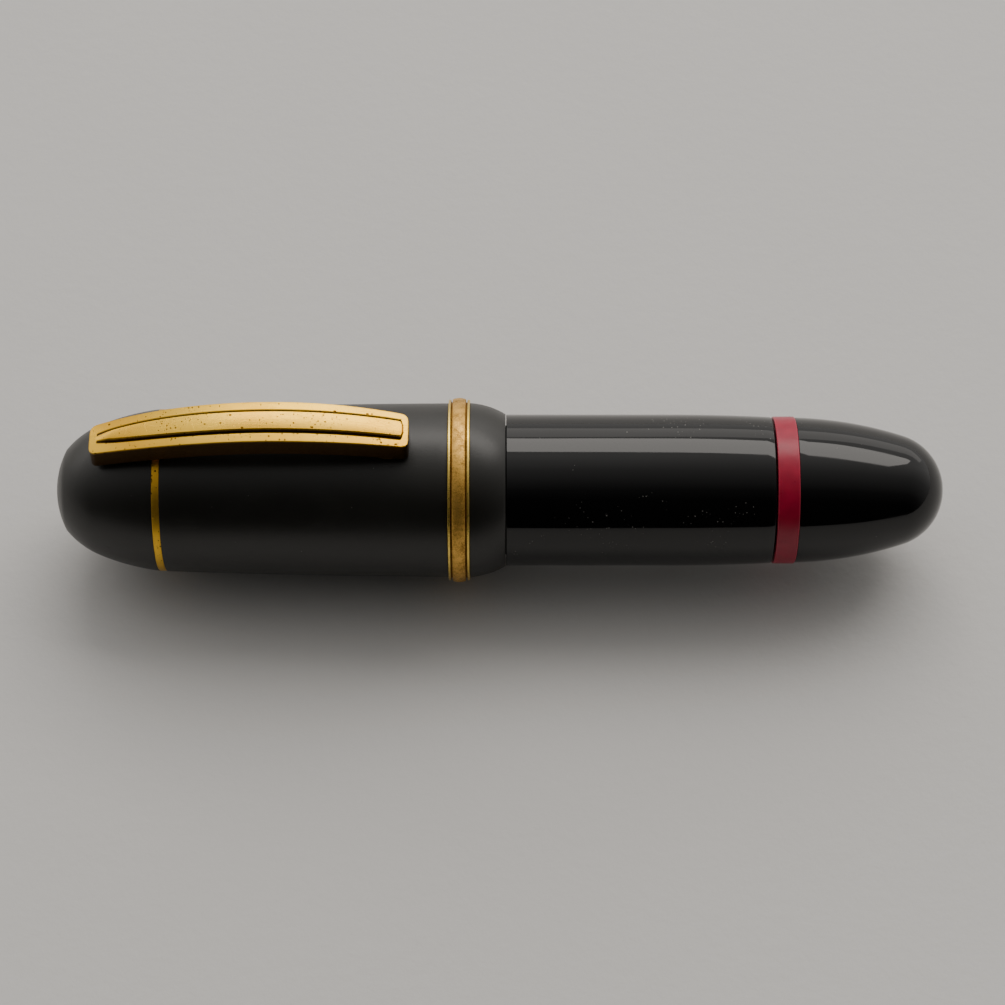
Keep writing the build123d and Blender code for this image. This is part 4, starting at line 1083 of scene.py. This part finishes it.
    def add_foot(self, shape, sizes, gold):
        """The round foot under the free end."""
        centre_x = shape.free_end - sizes.foot_back
        pocket = next(mount for mount in frame["record"]["mounts"] if mount["name"] == "clip_pocket")
        centre_z = pocket["pos_m"][2] + self.FOOT_RISE + sizes.foot_radius
        roof = shape.height(centre_x + sizes.foot_radius) - self.ROOF_SHARE * sizes.clip_sheet
        bm = bmesh.new()
        bmesh.ops.create_cone(bm, cap_ends=True, segments=72, radius1=sizes.foot_radius,
                              radius2=sizes.foot_radius, depth=2 * sizes.foot_width)
        bmesh.ops.rotate(bm, verts=bm.verts, cent=(0, 0, 0), matrix=Matrix.Rotation(math.pi / 2, 3, "X"))
        bmesh.ops.translate(bm, vec=(centre_x, 0, centre_z), verts=bm.verts)
        rims = [edge for edge in bm.edges if edge.calc_face_angle() > 1.0]
        soften(bm, rims, self.FOOT_EDGE, 5)
        for vert in bm.verts:
            vert.co.z = min(vert.co.z, roof)
        # Painted shade: the foot under the clip is browned all over
        layer = bm.verts.layers.float.new("tarnish")
        for vert in bm.verts:
            vert[layer] = self.FOOT_BROWN
        add_piece("clip_foot", bm, gold, "clip", [])


class PEN_OT_mechanism(Piece, bpy.types.Operator):
    """Gives the feed, liner and filling mechanism inside the pen their finishes"""

    bl_idname = "pen.mechanism"
    bl_label = "Mechanism finishes"

    # What makes the finish, its name, colour and roughness, and the frame nodes that have it
    FINISHES = (
        (moulded, "ebonite", (0.012, 0.011, 0.010), 0.5, ("feed", "nib_collar")),
        (moulded, "dark_plastic", (0.06, 0.06, 0.065), 0.38,
         ("filler_housing", "piston_rod", "piston_head")),
        (moulded, "liner_plastic", (0.03, 0.03, 0.03), 0.5, ("inner_cap",)),
        (moulded, "seal_rubber", (0.018, 0.018, 0.018), 0.62,
         ("section_gasket", "housing_gasket", "piston_seal")),
        (turned_metal, "nut_brass", (0.16, 0.10, 0.04), 0.45, ("spindle_nut",)),
        (turned_metal, "steel", (0.56, 0.56, 0.57), 0.28, ("retaining_ring", "piston_screw")),
        (turned_metal, "tipping", (0.74, 0.73, 0.72), 0.18, ("nib_tipping",)))
    LEAF_STEPS = 12
    LEAF_MERGE = 0.001 * MM

    def build(self, sizes, colours):
        self.give(finish_once(gold_plate, colours), ("clip_pin",))
        for maker, name, shade, rough, nodes in self.FINISHES:
            self.give(maker(name, shade, rough), nodes)
        self.add_leaf(bpy.data.materials["steel"])

    def give(self, material, nodes):
        for name in nodes:
            for place in frame["nodes"][name].material_slots:
                place.material = material

    def add_leaf(self, steel):
        """The leaf spring on the lug, cut across in steps along its length."""
        low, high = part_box("clip_spring")
        bm = bmesh.new()
        bm.from_mesh(frame["nodes"]["clip_spring"].data)
        bmesh.ops.remove_doubles(bm, verts=bm.verts, dist=self.LEAF_MERGE)
        for step in range(1, self.LEAF_STEPS):
            place = low[0] + (high[0] - low[0]) * step / self.LEAF_STEPS
            bmesh.ops.bisect_plane(bm, geom=bm.verts[:] + bm.edges[:] + bm.faces[:], dist=self.LEAF_MERGE,
                                   plane_co=(place, 0, 0), plane_no=(1, 0, 0))
        root, tip = (high[0], 0, low[2]), (low[0], 0, low[2])
        add_piece("clip_leaf", bm, steel, "cap", ["clip_spring"], ("clip", root, tip))


class PEN_OT_stage(Piece, bpy.types.Operator):
    """Sets the pale table, the soft lights and the camera"""

    bl_idname = "pen.stage"
    bl_label = "Stage"

    DISTANCE = 0.316
    ELEVATION = math.radians(60)
    LENS = 105.5
    AIM = (-0.4 * MM, 1.34 * MM)
    # The room's brightness from the front (0), over the top (0.5), to the back (1)
    ROOM = ((0.0, 0.01), (0.15, 0.02), (0.25, 0.09), (0.35, 0.24), (0.5, 0.46), (0.7, 1.0), (1.0, 0.9))
    ROOM_TINT = (1.0, 0.975, 0.94)
    # Windows behind the pen: name, elevation in degrees, length and height in metres,
    # place of the middle along the pen in metres, power in watts
    WINDOWS = (
        ("window_low", 22.5, 4.0, 0.42, -0.15, 4.6),
        ("window_high", 50.0, 1.3, 0.55, 0.25, 8.5))
    WINDOW_TINT = (1.0, 0.955, 0.90)
    REACH = 1.2
    TABLE_HALF = 3.0
    SENSOR = 36.0
    CLIP_RANGE = (0.01, 20.0)

    def build(self, sizes, colours):
        self.add_table(colours)
        self.add_lights()
        self.add_camera()

    def add_table(self, colours):
        bm = bmesh.new()
        bmesh.ops.create_grid(bm, x_segments=8, y_segments=8, size=self.TABLE_HALF)
        bmesh.ops.translate(bm, vec=(0, 0, cad_box[0][2]), verts=bm.verts)
        mesh = bpy.data.meshes.new("table")
        bm.to_mesh(mesh)
        bm.free()
        mesh.materials.append(table_top(colours))
        table = bpy.data.objects.new("table", mesh)
        bpy.context.scene.collection.objects.link(table)

    def add_room(self):
        """Soft light from the room, bright behind the pen and over it and dark in front of it."""
        world = bpy.data.worlds.new("room")
        world.use_nodes = True
        room = NodeMaker(world.node_tree)
        towards = room.node("ShaderNodeTexCoord", {}, {}).outputs["Generated"]
        parts = room.node("ShaderNodeSeparateXYZ", {}, {0: towards})
        from_front = Amount(room, parts.outputs[1]) * 0.5 + 0.5
        stops = [(place, (*(level * part for part in self.ROOM_TINT), 1.0)) for place, level in self.ROOM]
        shade = room.node("ShaderNodeValToRGB", {"stops": stops}, {0: from_front})
        background = room.node("ShaderNodeBackground", {}, {"Color": shade.outputs[0]})
        room.node("ShaderNodeOutputWorld", {}, {0: background.outputs[0]})
        bpy.context.scene.world = world

    def add_lights(self):
        """The room and its windows, each a soft rectangle aimed at the pen."""
        self.add_room()
        for name, elevation, span, height, shift, power in self.WINDOWS:
            raised = math.radians(elevation)
            place = Vector((shift, self.REACH * math.cos(raised), self.REACH * math.sin(raised)))
            data = bpy.data.lights.new(name, "AREA")
            data.shape = "RECTANGLE"
            data.size, data.size_y = span, height
            data.energy = power
            data.color = self.WINDOW_TINT
            light = bpy.data.objects.new(name, data)
            light.location = place
            light.rotation_euler = (-place).to_track_quat("-Z", "Y").to_euler()
            bpy.context.scene.collection.objects.link(light)

    def add_camera(self):
        up = Vector((0, math.sin(self.ELEVATION), math.cos(self.ELEVATION)))
        away = Vector((0, -math.cos(self.ELEVATION), math.sin(self.ELEVATION)))
        target = Vector((self.AIM[0], 0, 0)) - up * self.AIM[1]
        data = bpy.data.cameras.new("camera")
        data.lens = self.LENS
        data.sensor_width = self.SENSOR
        data.clip_start, data.clip_end = self.CLIP_RANGE
        camera = bpy.data.objects.new("camera", data)
        camera.location = target + away * self.DISTANCE
        camera.rotation_euler = (-away).to_track_quat("-Z", "Y").to_euler()
        bpy.context.scene.collection.objects.link(camera)
        bpy.context.scene.camera = camera


PIECES = (
    PEN_OT_barrel, PEN_OT_grip, PEN_OT_nib, PEN_OT_red_ring, PEN_OT_knob, PEN_OT_dome, PEN_OT_clip_ring,
    PEN_OT_tube, PEN_OT_band, PEN_OT_lip, PEN_OT_clip, PEN_OT_mechanism, PEN_OT_stage)


class PEN_PT_panel(bpy.types.Panel):
    """Lists the pen's pieces in the sidebar"""

    bl_idname = "PEN_PT_panel"
    bl_label = "Fountain Pen"
    bl_space_type = "VIEW_3D"
    bl_region_type = "UI"
    bl_category = "Pen"

    def draw(self, context):
        for piece in PIECES:
            self.layout.operator(piece.bl_idname)


CLASSES = (PenSizes, PenColours, *PIECES, PEN_PT_panel)


def register():
    for cls in CLASSES:
        bpy.utils.register_class(cls)
    bpy.types.Scene.pen_sizes = bpy.props.PointerProperty(type=PenSizes)
    bpy.types.Scene.pen_colours = bpy.props.PointerProperty(type=PenColours)


def unregister():
    del bpy.types.Scene.pen_colours
    del bpy.types.Scene.pen_sizes
    for cls in reversed(CLASSES):
        bpy.utils.unregister_class(cls)


def main():
    register()
    for piece in PIECES:
        getattr(bpy.ops.pen, piece.bl_idname.split(".")[1])()


if __name__ == "__main__":
    main()
